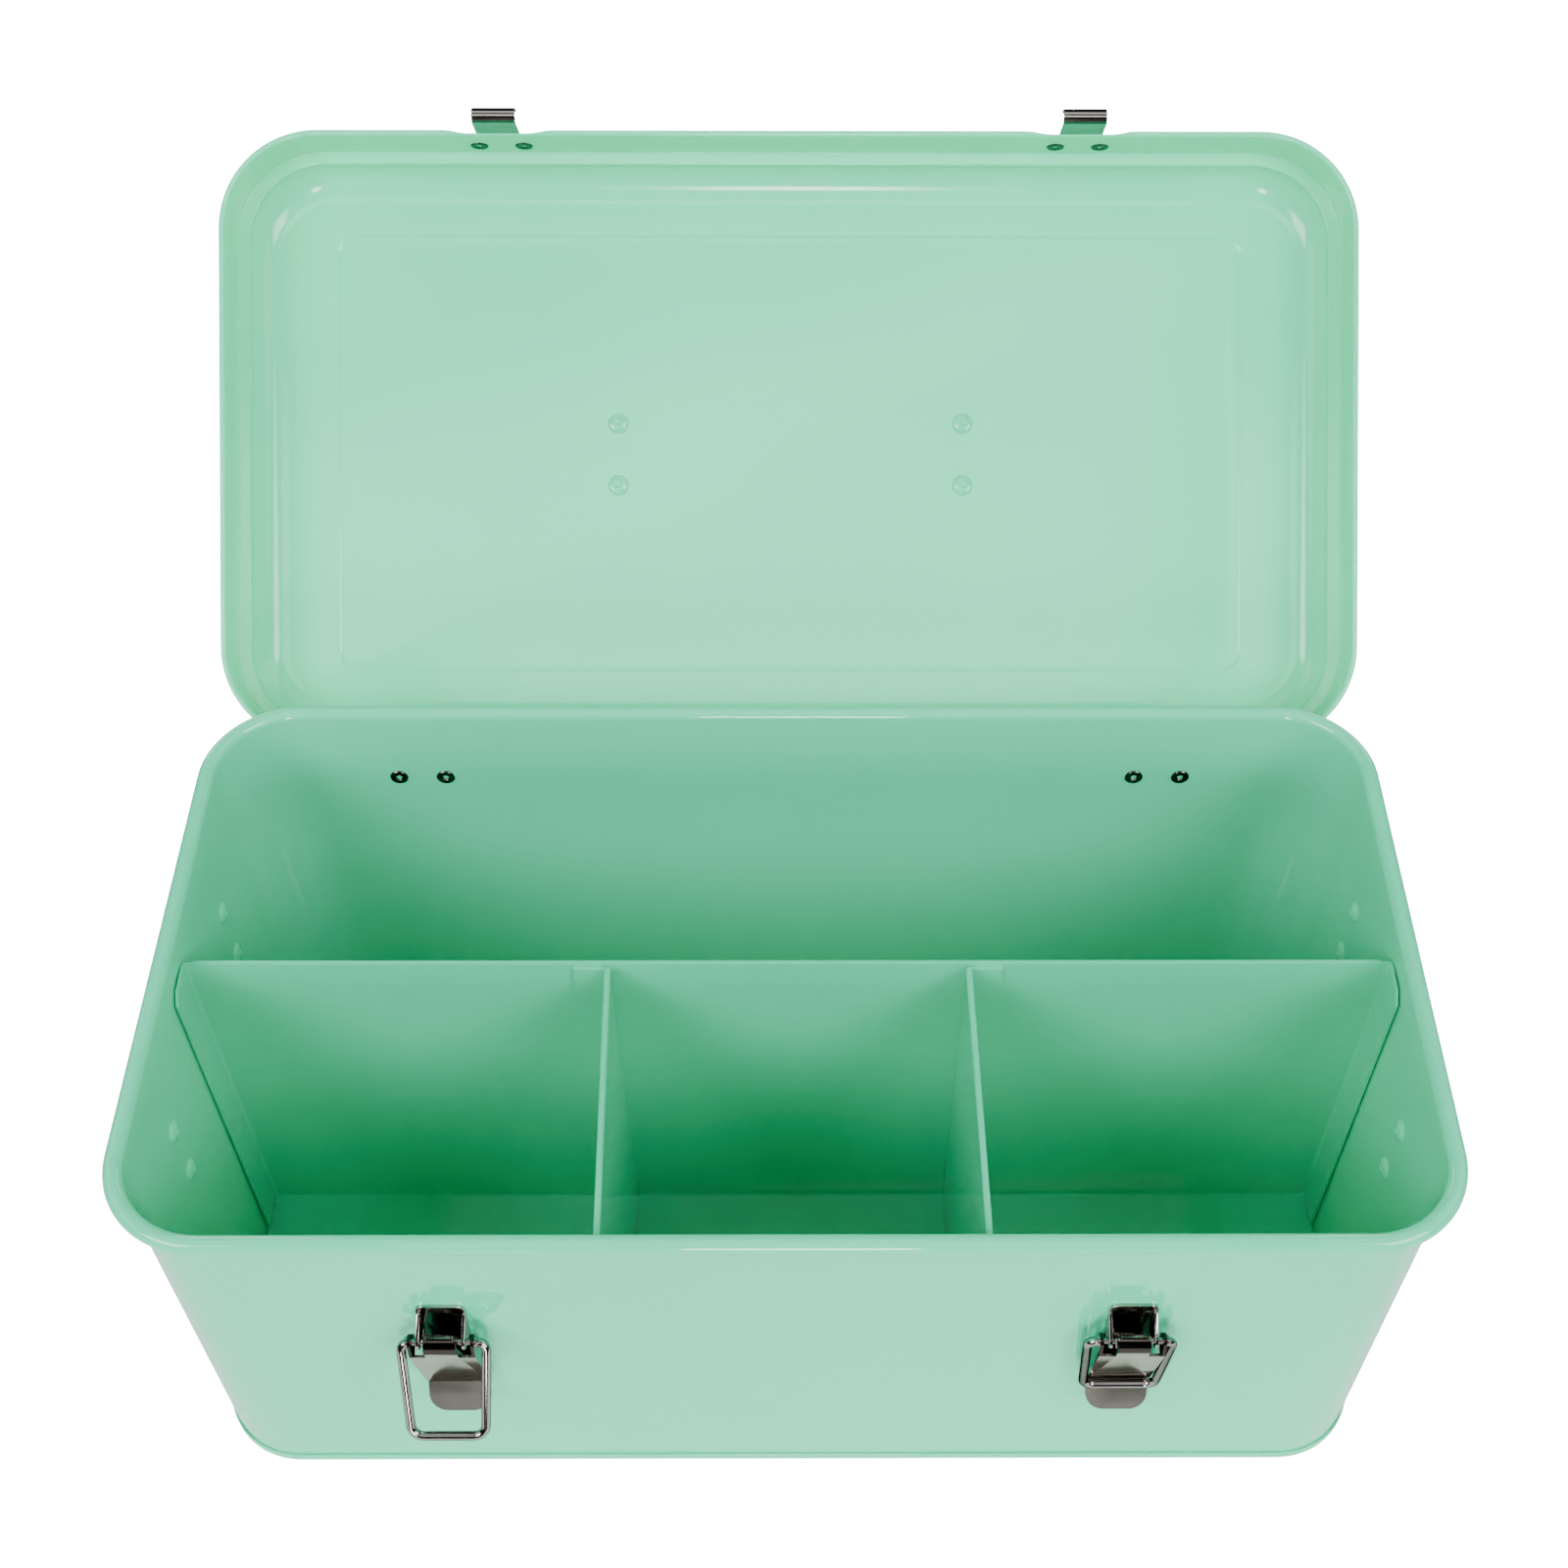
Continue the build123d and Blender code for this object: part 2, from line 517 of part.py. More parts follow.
# Inside of the pressed lid, taken out of the outside.
with BuildPart() as lid_hollow:
    with BuildSketch(Plane((0, LID_Y, LID_HEM_Z - 5))):
        RectangleRounded(2 * SKIRT_X, 2 * SKIRT_Y, SKIRT_R)
    extrude(amount=LEDGE_Z - LID_HEM_Z + 5)
    with BuildSketch(Plane((0, LID_Y, LEDGE_Z - 1))):
        RectangleRounded(2 * (SKIRT_X - LEDGE_IN), 2 * (SKIRT_Y - LEDGE_IN), SKIRT_R - LEDGE_IN)
    extrude(amount=DOME_TOP - SHEET - LEDGE_Z + 1)
    fillet(lid_hollow.faces().sort_by(Axis.Z)[-1].edges(), radius=DOME_R)
    with BuildSketch(Plane((0, LID_Y, DOME_TOP - SHEET - 0.1))):
        RectangleRounded(2 * EMBOSS_X, 2 * EMBOSS_Y, EMBOSS_R)
    extrude(amount=EMBOSS + 0.1, taper=EMBOSS_SLOPE)

# Bead round the skirt's lower edge, pressed flat where a hinge or a catch crosses it.
with BuildPart() as lid_bead:
    bead_c = SHEET + BEAD_OUT - LID_BEAD / 2
    bead_path = loop(SKIRT_X + bead_c, SKIRT_Y + bead_c, SKIRT_R + bead_c,
                     LID_Y, LID_HEM_Z + LID_BEAD / 2)
    with BuildSketch(Plane((0, LID_Y - SKIRT_Y - bead_c, LID_HEM_Z + LID_BEAD / 2),
                           x_dir=(0, 1, 0), z_dir=(1, 0, 0))):
        Circle(LID_BEAD / 2)
    sweep(path=bead_path)
    out = BEAD_OUT + 0.2
    with BuildSketch(Plane.XY.offset(LID_HEM_Z - 0.2)):
        for side in (-1, 1):
            for mid, half, face, away in ((CATCH_X, CATCH_TOP_W * 0.4, SKIRT_FRONT, -1),
                                          (HINGE_X, HINGE_W / 2 + DIP_SPARE, SKIRT_REAR, 1)):
                centre = side * mid
                with BuildLine():
                    Polyline((centre - half - BEAD_DIP, face + away * out),
                             (centre - half, face - away * 0.02),
                             (centre + half, face - away * 0.02),
                             (centre + half + BEAD_DIP, face + away * out), close=True)
                make_face()
    extrude(amount=LID_BEAD + 0.4, mode=Mode.SUBTRACT)

with BuildPart() as lid_shell_done:
    add(lid_shell.part)
    add(lid_hollow.part, mode=Mode.SUBTRACT)
    add(lid_bead.part)
    with BuildSketch(Plane.XZ.offset(-SKIRT_REAR - 1)):
        with Locations(*[(x, LID_RIVET_Z) for x in hinge_rivet_x]):
            Circle(SHANK_HOLE)
    extrude(amount=SHEET + 2, mode=Mode.SUBTRACT)
    with BuildSketch(Plane.XZ.offset(-SKIRT_FRONT + 1)):
        with Locations(*[(x, CATCH_RIVET_Z) for x in catch_rivet_x]):
            Circle(SHANK_HOLE)
    extrude(amount=-SHEET - 2, mode=Mode.SUBTRACT)
    with BuildSketch(Plane.XY.offset(PANEL_TOP + 1)):
        with Locations(*[(s * LID_SADDLE_X, d * SADDLE_RIVETS / 2)
                         for s in (-1, 1) for d in (-1, 1)]):
            Circle(SHANK_HOLE)
    extrude(amount=-5, mode=Mode.SUBTRACT)


def catch(x):
    """Catch on the lid's front skirt: a T plate whose tongue ends in a J, drawn closed."""
    with BuildPart() as piece:
        with BuildSketch(Plane.XZ.offset(-SKIRT_FRONT)):
            with Locations((x, CATCH_RIVET_Z)):
                RectangleRounded(CATCH_TOP_W, CATCH_TOP_H, CATCH_TOP_R)
            with Locations((x, J_Z)):
                Rectangle(CATCH_W, CATCH_RIVET_Z - J_Z, align=(Align.CENTER, Align.MIN))
            with Locations(*[(x + d * CATCH_RIVETS / 2, CATCH_RIVET_Z) for d in (-1, 1)]):
                Circle(SHANK_HOLE, mode=Mode.SUBTRACT)
        extrude(amount=LEAF)
        with BuildSketch(Plane.YZ.offset(x)):
            with Locations((J_Y, J_Z)):
                Circle(J_OUT)
                Circle(J_IN, mode=Mode.SUBTRACT)
            with Locations((J_Y, J_Z)):
                Rectangle(3 * J_OUT, J_OUT, align=(Align.CENTER, Align.MIN), mode=Mode.SUBTRACT)
            with Locations((J_Y - J_OUT, J_Z - 0.01)):
                Rectangle(LEAF, J_LIP, align=(Align.MIN, Align.MIN))
        extrude(amount=CATCH_W / 2, both=True)
    return piece


catch_left = catch(-CATCH_X)

catch_right = catch(CATCH_X)

with BuildPart() as catch_rivets:
    for rivet_x in catch_rivet_x:
        add(tube_rivet((rivet_x, SKIRT_FRONT - LEAF, CATCH_RIVET_Z), (0, -1, 0),
                       LEAF + SHEET, FLAT_TAIL))

# ---------------------------------------------------------------- latches
# the lever's plate runs from its lower fold and touches the hood
rise = A_Z - BEND_Z
reach_out = A_OUT - BEND_OUT
lever_lean = math.asin(HOOD_R / math.hypot(reach_out, rise)) + math.atan2(reach_out, rise)
A_POINT = place(A_OUT, A_Z)
P_POINT = place(P_OUT, P_Z)


def on_plate(z, depth=0.0):
    """Point of the lever plate at height z, depth behind its outer face."""
    out = BEND_OUT + (z - BEND_Z) * math.tan(lever_lean) - depth / math.cos(lever_lean)
    return place(out, z)


def plate_strip(z_low, z_high):
    """Edge-on slice of the lever plate between two heights."""
    Polygon(on_plate(z_low), on_plate(z_high), on_plate(z_high, LEAF), on_plate(z_low, LEAF),
            align=None)


def latch_bracket(x):
    """Bracket on the front wall whose two ears carry the lever pin."""
    with BuildPart() as piece:
        half = EAR_IN + LEAF
        with BuildSketch(Plane.XZ.offset(WALL_Y)):
            with Locations((x, A_Z - BRACKET_LOW)):
                Rectangle(2 * half, BRACKET_LOW + BRACKET_UP, align=(Align.CENTER, Align.MIN))
            with Locations(*[(x, z) for z in LATCH_RIVET_Z]):
                Circle(SHANK_HOLE, mode=Mode.SUBTRACT)
        extrude(amount=LEAF)
        corners = piece.edges().filter_by(Axis.Y).group_by(Axis.Z)[-1]
        fillet(corners, radius=BRACKET_R)
        for side in (-1, 1):
            with BuildSketch(Plane.YZ.offset(x + side * (EAR_IN + LEAF / 2))):
                with BuildSketch(mode=Mode.PRIVATE) as ear:
                    with Locations(A_POINT):
                        Circle(EAR_R)
                    with Locations((-WALL_Y - LEAF / 2, A_Z)):
                        Rectangle(LEAF, EAR_ROOT)
                make_hull(ear.edges())
                with Locations(A_POINT):
                    Circle(LEVER_PIN_R + FIT, mode=Mode.SUBTRACT)
            extrude(amount=LEAF / 2, both=True)
    return piece


latch_left_bracket = latch_bracket(-LATCH_X)
latch_right_bracket = latch_bracket(LATCH_X)


def latch_pin(x):
    """Headed pin through the bracket's and the lever's ears."""
    with BuildPart() as piece:
        head_in = LEVER_HALF + PIN_HEAD_GAP
        head_out = head_in + PIN_HEAD_T
        crown = PIN_HEAD_R - RIVET_EDGE
        add(turned((x, *A_POINT), (1, 0, 0), [
            (-head_out, 0), (-head_out, crown), (-head_out + RIVET_EDGE, PIN_HEAD_R),
            (-head_in, PIN_HEAD_R), (-head_in, LEVER_PIN_R), (head_in, LEVER_PIN_R),
            (head_in, PIN_HEAD_R), (head_out - RIVET_EDGE, PIN_HEAD_R), (head_out, crown),
            (head_out, 0),
        ]))
    return piece


latch_left_pin = latch_pin(-LATCH_X)

latch_right_pin = latch_pin(LATCH_X)


def lever(x):
    """Lever: a hood over the pin, a plate down the front and a finger tab."""
    with BuildPart() as piece:
        tangent_z = A_Z - HOOD_R * math.sin(lever_lean) + HOOD_LAP
        with BuildSketch(Plane.YZ.offset(x)):
            with Locations(A_POINT):
                Circle(HOOD_R)
                Circle(HOOD_R - LEAF, mode=Mode.SUBTRACT)
            far = 3 * HOOD_R
            with BuildLine():
                Polyline(A_POINT,
                         (A_POINT[0] - far * math.tan(math.radians(HOOD_EDGE)), A_Z + far),
                         (A_POINT[0] + far, A_Z + far),
                         (A_POINT[0] + far, A_Z - far), (A_POINT[0], A_Z - far),
                         (A_POINT[0] - far * math.cos(lever_lean),
                          A_Z - far * math.sin(lever_lean)), close=True)
            make_face(mode=Mode.SUBTRACT)
            plate_strip(PLATE_TOP - 1, tangent_z)
        extrude(amount=HOOD_HALF, both=True)
        fillet(piece.edges().filter_by(lambda e: abs(e.length - LEAF) < 0.01)
               .filter_by(lambda e: e.center().Z > A_Z + HOOD_R / 2), radius=HOOD_CORNER)
        with BuildSketch(Plane.YZ.offset(x)):
            plate_strip(BEND_Z, PLATE_TOP)
            with Locations(place(BEND_OUT, BEND_Z)):
                Circle(LEAF)
        extrude(amount=LEVER_HALF, both=True)
        with BuildSketch(Plane.YZ.offset(x)):
            Polygon(on_plate(PLATE_TOP, 0), on_plate(BEND_Z - 2, 0), place(A_OUT + HOOD_R, BEND_Z - 2),
                    place(A_OUT + 2 * HOOD_R, PLATE_TOP), align=None)
        extrude(amount=LEVER_HALF + 1, both=True, mode=Mode.SUBTRACT)
        tab_plane = Plane(origin=(x, *place(BEND_OUT, BEND_Z)), x_dir=(1, 0, 0),
                          z_dir=(0, math.cos(TAB_ANGLE), -math.sin(TAB_ANGLE)))
        with BuildSketch(tab_plane):
            tab_w = 2 * (LEVER_HALF - TAB_IN)
            with Locations((0, TAB_LEN)):
                RectangleRounded(tab_w, 2 * TAB_R + 1, TAB_R,
                                 align=(Align.CENTER, Align.MAX))
            Rectangle(tab_w, TAB_LEN - TAB_R, align=(Align.CENTER, Align.MIN))
            with Locations((0, 0)):
                Rectangle(2 * tab_w, 4 * TAB_R, align=(Align.CENTER, Align.MAX),
                          mode=Mode.SUBTRACT)
        extrude(amount=LEAF)
        for side in (-1, 1):
            with BuildSketch(Plane.YZ.offset(x + side * (LEVER_EAR_IN + LEAF / 2))):
                with BuildSketch(mode=Mode.PRIVATE) as lug:
                    with Locations(A_POINT):
                        Circle(A_LUG_R)
                    with Locations(P_POINT):
                        Circle(P_LUG_R)
                    with Locations(on_plate(PLATE_TOP - LUG_FOOT, LEAF / 2),
                                   on_plate(PLATE_TOP, LEAF / 2)):
                        Circle(0.49 * LEAF)
                make_hull(lug.edges())
                with Locations(A_POINT):
                    Circle(LEVER_PIN_R + FIT, mode=Mode.SUBTRACT)
                with Locations(P_POINT):
                    Circle(BAIL_R + FIT, mode=Mode.SUBTRACT)
            extrude(amount=LEAF / 2, both=True)
    return piece


latch_left_lever = lever(-LATCH_X)

latch_right_lever = lever(LATCH_X)


def bail(x, swing):
    """Wire bail with its two ends turned into the lever's ears."""
    with BuildPart() as piece:
        angle = math.radians(swing)
        down = (0, -math.sin(angle), -math.cos(angle))
        frame = Plane(origin=(x, *P_POINT), x_dir=(1, 0, 0),
                      z_dir=Vector(1, 0, 0).cross(Vector(*down)))
        stub = LEVER_EAR_IN - BAIL_STUB
        with BuildLine(frame) as wire:
            FilletPolyline((-stub, 0), (-BAIL_TOP_X, 0), (-BAIL_BAR_X, BAIL_LEN),
                           (BAIL_BAR_X, BAIL_LEN), (BAIL_TOP_X, 0), (stub, 0),
                           radius=[BAIL_TOP_BEND, BAIL_BAR_BEND, BAIL_BAR_BEND, BAIL_TOP_BEND])
        with BuildSketch(Plane(origin=(x - stub, *P_POINT), x_dir=(0, 1, 0), z_dir=(-1, 0, 0))):
            Circle(BAIL_R)
        sweep(path=wire.line)
    return piece


latch_left_bail = bail(-LATCH_X, LEFT_SWING)

latch_right_bail = bail(LATCH_X, RIGHT_SWING)

leg_angle = math.radians(COIL_LEG_ANGLE)


def coil_point(turn):
    """Point and unit tangent of the coil after a turn's angle, in (x, y, z)."""
    angle = leg_angle - turn
    rise = COIL_PITCH / (2 * math.pi)
    point = Vector(COIL_START + rise * turn, A_POINT[0] - COIL_R * math.cos(angle),
                   A_Z + COIL_R * math.sin(angle))
    tangent = Vector(rise, -COIL_R * math.sin(angle), -COIL_R * math.cos(angle)).normalized()
    return point, tangent


def spring(x):
    """Torsion spring: coil of biarcs, a quarter turn each, with two straight legs."""
    with BuildPart() as piece:
        sweep_angle = leg_angle + lever_lean + 2 * math.pi * COIL_TURNS
        steps = math.ceil(sweep_angle / (math.pi / 2))
        shift = Vector(x, 0, 0)
        start, start_dir = coil_point(0)
        finish, finish_dir = coil_point(sweep_angle)
        with BuildLine() as wire:
            Line(start + shift - start_dir * COIL_LEG, start + shift)
            for i in range(steps):
                p0, t0 = coil_point(sweep_angle * i / steps)
                p1, t1 = coil_point(sweep_angle * (i + 1) / steps)
                chord = p1 - p0
                both = t0 + t1
                lean = 2 * (1 - t0.dot(t1))
                reach = (math.sqrt(chord.dot(both) ** 2 + 2 * lean * chord.dot(chord))
                         - chord.dot(both)) / lean
                q0 = p0 + t0 * reach
                q1 = p1 - t1 * reach
                joint = (q0 + q1) * 0.5
                TangentArc(p0 + shift, joint + shift, tangent=t0)
                TangentArc(joint + shift, p1 + shift, tangent=(q1 - q0).normalized())
            Line(finish + shift, finish + shift + finish_dir * COIL_LEVER_LEG)
        tip = start + shift - start_dir * COIL_LEG
        with BuildSketch(Plane(origin=tip, z_dir=start_dir)):
            Circle(COIL_WIRE / 2)
        sweep(path=wire.line)
    return piece


latch_left_spring = spring(-LATCH_X)

latch_right_spring = spring(LATCH_X)

coil_samples = [coil_point(math.radians(5 * k))[0] for k in range(72 * COIL_TURNS)]
least_gap = min((coil_samples[k] - coil_samples[k + j]).length
                for k in range(len(coil_samples) - 80) for j in range(60, 80)) - COIL_WIRE
print(f"least gap between the spring's turns {least_gap:.3f} mm")

with BuildPart() as latch_rivets:
    for rivet_x in (-LATCH_X, LATCH_X):
        for rivet_z in LATCH_RIVET_Z:
            add(tube_rivet((rivet_x, -WALL_Y - LEAF, rivet_z), (0, -1, 0), LEAF + SHEET))

# ---------------------------------------------------------------- handles


def saddle(plane):
    """Strap over the handle wire; the plane lies on the sheet, x across the wire."""
    with BuildPart() as piece:
        hump = HANDLE_R + SADDLE_FIT
        foot = SADDLE_RIVETS / 2 + SADDLE_FOOT
        with BuildSketch(plane):
            with Locations((0, HANDLE_OFF)):
                Circle(hump + SADDLE_T)
            Rectangle(2 * (hump + SADDLE_T), HANDLE_OFF, align=(Align.CENTER, Align.MIN))
            Rectangle(2 * foot, SADDLE_T, align=(Align.CENTER, Align.MIN))
            with Locations((0, HANDLE_OFF)):
                Circle(hump, mode=Mode.SUBTRACT)
            Rectangle(2 * hump, HANDLE_OFF, align=(Align.CENTER, Align.MIN), mode=Mode.SUBTRACT)
            Rectangle(2 * foot, HANDLE_OFF, align=(Align.CENTER, Align.MAX), mode=Mode.SUBTRACT)
        extrude(amount=SADDLE_W / 2, both=True)
        feet_plane = Plane(origin=plane.origin, x_dir=plane.x_dir, z_dir=plane.y_dir)
        with BuildSketch(feet_plane.offset(-1)):
            with Locations((-SADDLE_RIVETS / 2, 0), (SADDLE_RIVETS / 2, 0)):
                Circle(SHANK_HOLE)
        extrude(amount=SADDLE_T + 2, mode=Mode.SUBTRACT)
    return piece


def lid_saddle_plane(side):
    """Plane of a saddle on the closed lid's top."""
    return Plane(origin=(side * LID_SADDLE_X, 0, PANEL_TOP), x_dir=(0, 1, 0), z_dir=(1, 0, 0))


lid_handle_saddle_left = saddle(lid_saddle_plane(-1))

lid_handle_saddle_right = saddle(lid_saddle_plane(1))


def side_saddle_plane(side, y):
    """Plane of a saddle on a side wall."""
    return Plane(origin=(side * WALL_X, y, SIDE_HANDLE_Z), x_dir=(0, 0, side), z_dir=(0, 1, 0))


side_handle_left_saddle_front = saddle(side_saddle_plane(-1, -SIDE_SADDLE_Y))

side_handle_left_saddle_rear = saddle(side_saddle_plane(-1, SIDE_SADDLE_Y))

side_handle_right_saddle_front = saddle(side_saddle_plane(1, -SIDE_SADDLE_Y))

side_handle_right_saddle_rear = saddle(side_saddle_plane(1, SIDE_SADDLE_Y))


def handle(frame, saddle, leg, depth):
    """Wire handle in the frame's plane, x along its axis and y towards its bar."""
    with BuildPart() as piece:
        tip = saddle - SADDLE_W / 2 - HANDLE_TIP
        with BuildLine(frame) as wire:
            FilletPolyline((-tip, 0), (-leg, 0), (-leg + HANDLE_TAPER, depth),
                           (leg - HANDLE_TAPER, depth), (leg, 0), (tip, 0),
                           radius=[HANDLE_BEND, HANDLE_CORNER, HANDLE_CORNER, HANDLE_BEND])
        with BuildSketch(Plane(origin=frame.from_local_coords(Vector(-tip, 0, 0)),
                               x_dir=frame.y_dir, z_dir=-frame.x_dir)):
            Circle(HANDLE_R)
        sweep(path=wire.line)
    return piece


# the open lid's handle hangs straight down: this is that direction in the closed lid
hang = math.radians(OPEN_ANGLE)
lid_handle_frame = Plane(
    origin=(0, 0, PANEL_TOP + HANDLE_OFF), x_dir=(1, 0, 0),
    z_dir=Vector(1, 0, 0).cross(Vector(0, math.sin(hang), -math.cos(hang))))

lid_handle_bail = handle(lid_handle_frame, LID_SADDLE_X, LID_LEG_X, LID_HANDLE)

def side_handle_frame(side):
    """Plane of a side handle that hangs down the wall."""
    return Plane(origin=(side * (WALL_X + HANDLE_OFF), 0, SIDE_HANDLE_Z), x_dir=(0, 1, 0),
                 z_dir=Vector(0, 1, 0).cross(Vector(0, 0, -1)))


side_handle_left_bail = handle(side_handle_frame(-1), SIDE_SADDLE_Y, SIDE_LEG_Y, SIDE_HANDLE)

side_handle_right_bail = handle(side_handle_frame(1), SIDE_SADDLE_Y, SIDE_LEG_Y, SIDE_HANDLE)

with BuildPart() as lid_handle_rivets:
    for side in (-1, 1):
        for half in (-1, 1):
            add(dome_rivet((side * LID_SADDLE_X, half * SADDLE_RIVETS / 2, PANEL_TOP + SADDLE_T),
                           (0, 0, 1), SADDLE_T + SHEET))

with BuildPart() as side_handle_rivets:
    for side in (-1, 1):
        for rivet_y, rivet_z in side_rivets:
            add(dome_rivet((side * (WALL_X + SADDLE_T), rivet_y, rivet_z), (side, 0, 0),
                           SADDLE_T + SHEET))

# ---------------------------------------------------------------- export
fixed_pieces = {
    "body_shell": body_shell,
    "base_pan": base_pan,
    "divider_long": divider_long,
    "cross_divider_left": cross_divider_left,
    "cross_divider_right": cross_divider_right,
    "hinge_left_body_leaf": hinge_left_body_leaf,
    "hinge_right_body_leaf": hinge_right_body_leaf,
    "hinge_left_pin": hinge_left_pin,
    "hinge_right_pin": hinge_right_pin,
    "hinge_body_rivets": hinge_body_rivets,
    "latch_left_bracket": latch_left_bracket,
    "latch_right_bracket": latch_right_bracket,
    "latch_left_pin": latch_left_pin,
    "latch_right_pin": latch_right_pin,
    "latch_left_spring": latch_left_spring,
    "latch_right_spring": latch_right_spring,
    "latch_left_lever": latch_left_lever,
    "latch_right_lever": latch_right_lever,
    "latch_left_bail": latch_left_bail,
    "latch_right_bail": latch_right_bail,
    "latch_rivets": latch_rivets,
    "side_handle_left_saddle_front": side_handle_left_saddle_front,
    "side_handle_left_saddle_rear": side_handle_left_saddle_rear,
    "side_handle_right_saddle_front": side_handle_right_saddle_front,
    "side_handle_right_saddle_rear": side_handle_right_saddle_rear,
    "side_handle_left_bail": side_handle_left_bail,
    "side_handle_right_bail": side_handle_right_bail,
    "side_handle_rivets": side_handle_rivets,
}
lid_pieces = {
    "lid_shell": lid_shell_done,
    "hinge_left_lid_leaf": hinge_left_lid_leaf,
    "hinge_right_lid_leaf": hinge_right_lid_leaf,
    "hinge_lid_rivets": hinge_lid_rivets,
    "catch_left": catch_left,
    "catch_right": catch_right,
    "catch_rivets": catch_rivets,
    "lid_handle_saddle_left": lid_handle_saddle_left,
    "lid_handle_saddle_right": lid_handle_saddle_right,
    "lid_handle_bail": lid_handle_bail,
    "lid_handle_rivets": lid_handle_rivets,
}

for label, piece in fixed_pieces.items():
    piece.part.label = label
    export_step(piece.part, f"parts/{label}.step")

for label, piece in lid_pieces.items():
    opened = swung_open(piece.part)
    opened.label = label
    export_step(opened, f"parts/{label}.step")
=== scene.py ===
# %% [markdown]
# # A mint sheet-metal box for garden seeds
# The box is a deep drawn tin with a rolled rim, a divider insert, a domed lid on two
# hinges and two draw latches. The engineering model gives every size and every moving
# body. This lesson lays smooth skins over its big glossy sheets, softens the edges of its
# small metal parts, and gives each piece a paint or plate of its own.

# %% Load the frame
import json
import math

import bmesh
import bpy
import numpy as np
from mathutils import Matrix, Vector

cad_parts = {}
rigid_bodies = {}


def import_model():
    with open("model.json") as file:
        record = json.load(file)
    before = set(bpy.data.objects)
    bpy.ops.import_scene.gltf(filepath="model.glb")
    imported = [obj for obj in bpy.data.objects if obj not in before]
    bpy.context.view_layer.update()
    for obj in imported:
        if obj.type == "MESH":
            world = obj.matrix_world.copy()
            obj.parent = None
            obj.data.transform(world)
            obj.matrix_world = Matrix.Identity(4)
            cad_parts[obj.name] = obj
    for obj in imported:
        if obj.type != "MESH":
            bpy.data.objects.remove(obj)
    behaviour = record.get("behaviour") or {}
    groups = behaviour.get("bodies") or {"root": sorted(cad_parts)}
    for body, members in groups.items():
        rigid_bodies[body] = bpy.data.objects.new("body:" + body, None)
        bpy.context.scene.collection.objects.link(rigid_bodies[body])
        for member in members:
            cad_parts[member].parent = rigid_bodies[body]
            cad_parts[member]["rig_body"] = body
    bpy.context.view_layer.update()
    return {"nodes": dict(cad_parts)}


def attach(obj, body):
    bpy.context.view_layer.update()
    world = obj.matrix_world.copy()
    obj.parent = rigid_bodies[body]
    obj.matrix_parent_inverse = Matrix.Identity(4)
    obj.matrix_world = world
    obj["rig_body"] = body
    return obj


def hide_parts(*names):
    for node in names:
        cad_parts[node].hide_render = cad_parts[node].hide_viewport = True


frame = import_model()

nodes = frame["nodes"]
MM = 0.001

# %% [markdown]
# ## Sizes
# The skins have to lie exactly on the engineering solids, so their sizes are the same
# numbers, in millimetres: the wall's half width and depth, its corner radius, the heights
# of the rim and of the lid's ledge, and the line that the lid turns about.

# %% Sizes in millimetres
WALL = (160.8, 83.3, 22.3)      # half width, half depth, corner radius of the wall's outside
SHEET = 0.6
RIM_Z, CURL_R = 128.6, 2.4
PAN = (161.45, 83.95, 22.95)
SKIRT = (166.1, 88.7, 27.6)     # outside of the closed lid's skirt
LID_Y = -0.2
HEM_Z, LEDGE_Z, DOME_Z = 117.0, 131.9, 141.9
PIN = (88.2, 114.7)
OPEN = math.radians(-140.5)
HINGE_X, CATCH_X = 108.4, 85.5
TAB_Z, HOOD_Z = 54.0, 82.3

# %% [markdown]
# ## Meshes from stacked loops
# Pressed and rolled tinware is the same outline followed again and again, a little further
# in or out and a little higher or lower. So each shell here is a stack of loops. One loop
# is a rounded rectangle worked out with numpy in one go, and a profile says how far each
# loop is offset and how high it lies. That gives clean rows of faces, which a gloss needs:
# a triangulated solid would show its facets in every reflection.

# %% Loop and stack helpers
def rounded_loop(half_x, half_y, radius, run=24, corner=20):
    """Rounded rectangle. Each quarter is an arc, centre + radius (cos t, sin t), and the
    straight runs between the arcs are divided evenly. Returns points and outward normals."""
    turn = np.linspace(0, np.pi / 2, corner)
    points, normals = [], []
    for k, (sx, sy) in enumerate(((1, -1), (1, 1), (-1, 1), (-1, -1))):
        t = turn - np.pi / 2 + k * np.pi / 2
        arc = np.c_[np.cos(t), np.sin(t)]
        centre = np.array([sx * (half_x - radius), sy * (half_y - radius)])
        points.append(centre + radius * arc)
        normals.append(arc)
        step = np.linspace(0, 1, run + 1)[1:-1, None]
        nxt = ((1, 1), (-1, 1), (-1, -1), (1, -1))[k]
        end = np.array([nxt[0] * (half_x - radius), nxt[1] * (half_y - radius)]) + radius * arc[-1]
        start = points[-1][-1]
        points.append(start + (end - start) * step)
        normals.append(np.repeat(arc[-1:], run - 1, axis=0))
    return np.vstack(points), np.vstack(normals)


def arc_points(centre, radius, start, stop, count):
    """Points of a circle's arc, centre + radius (cos t, sin t), t in degrees."""
    t = np.radians(np.linspace(start, stop, count))
    return np.c_[centre[0] + radius * np.cos(t), centre[1] + radius * np.sin(t)]


def smooth(mesh, angle=35):
    """Shade smooth, with edges sharper than the angle kept crisp."""
    mesh.shade_smooth()
    mesh.set_sharp_from_angle(angle=math.radians(angle))


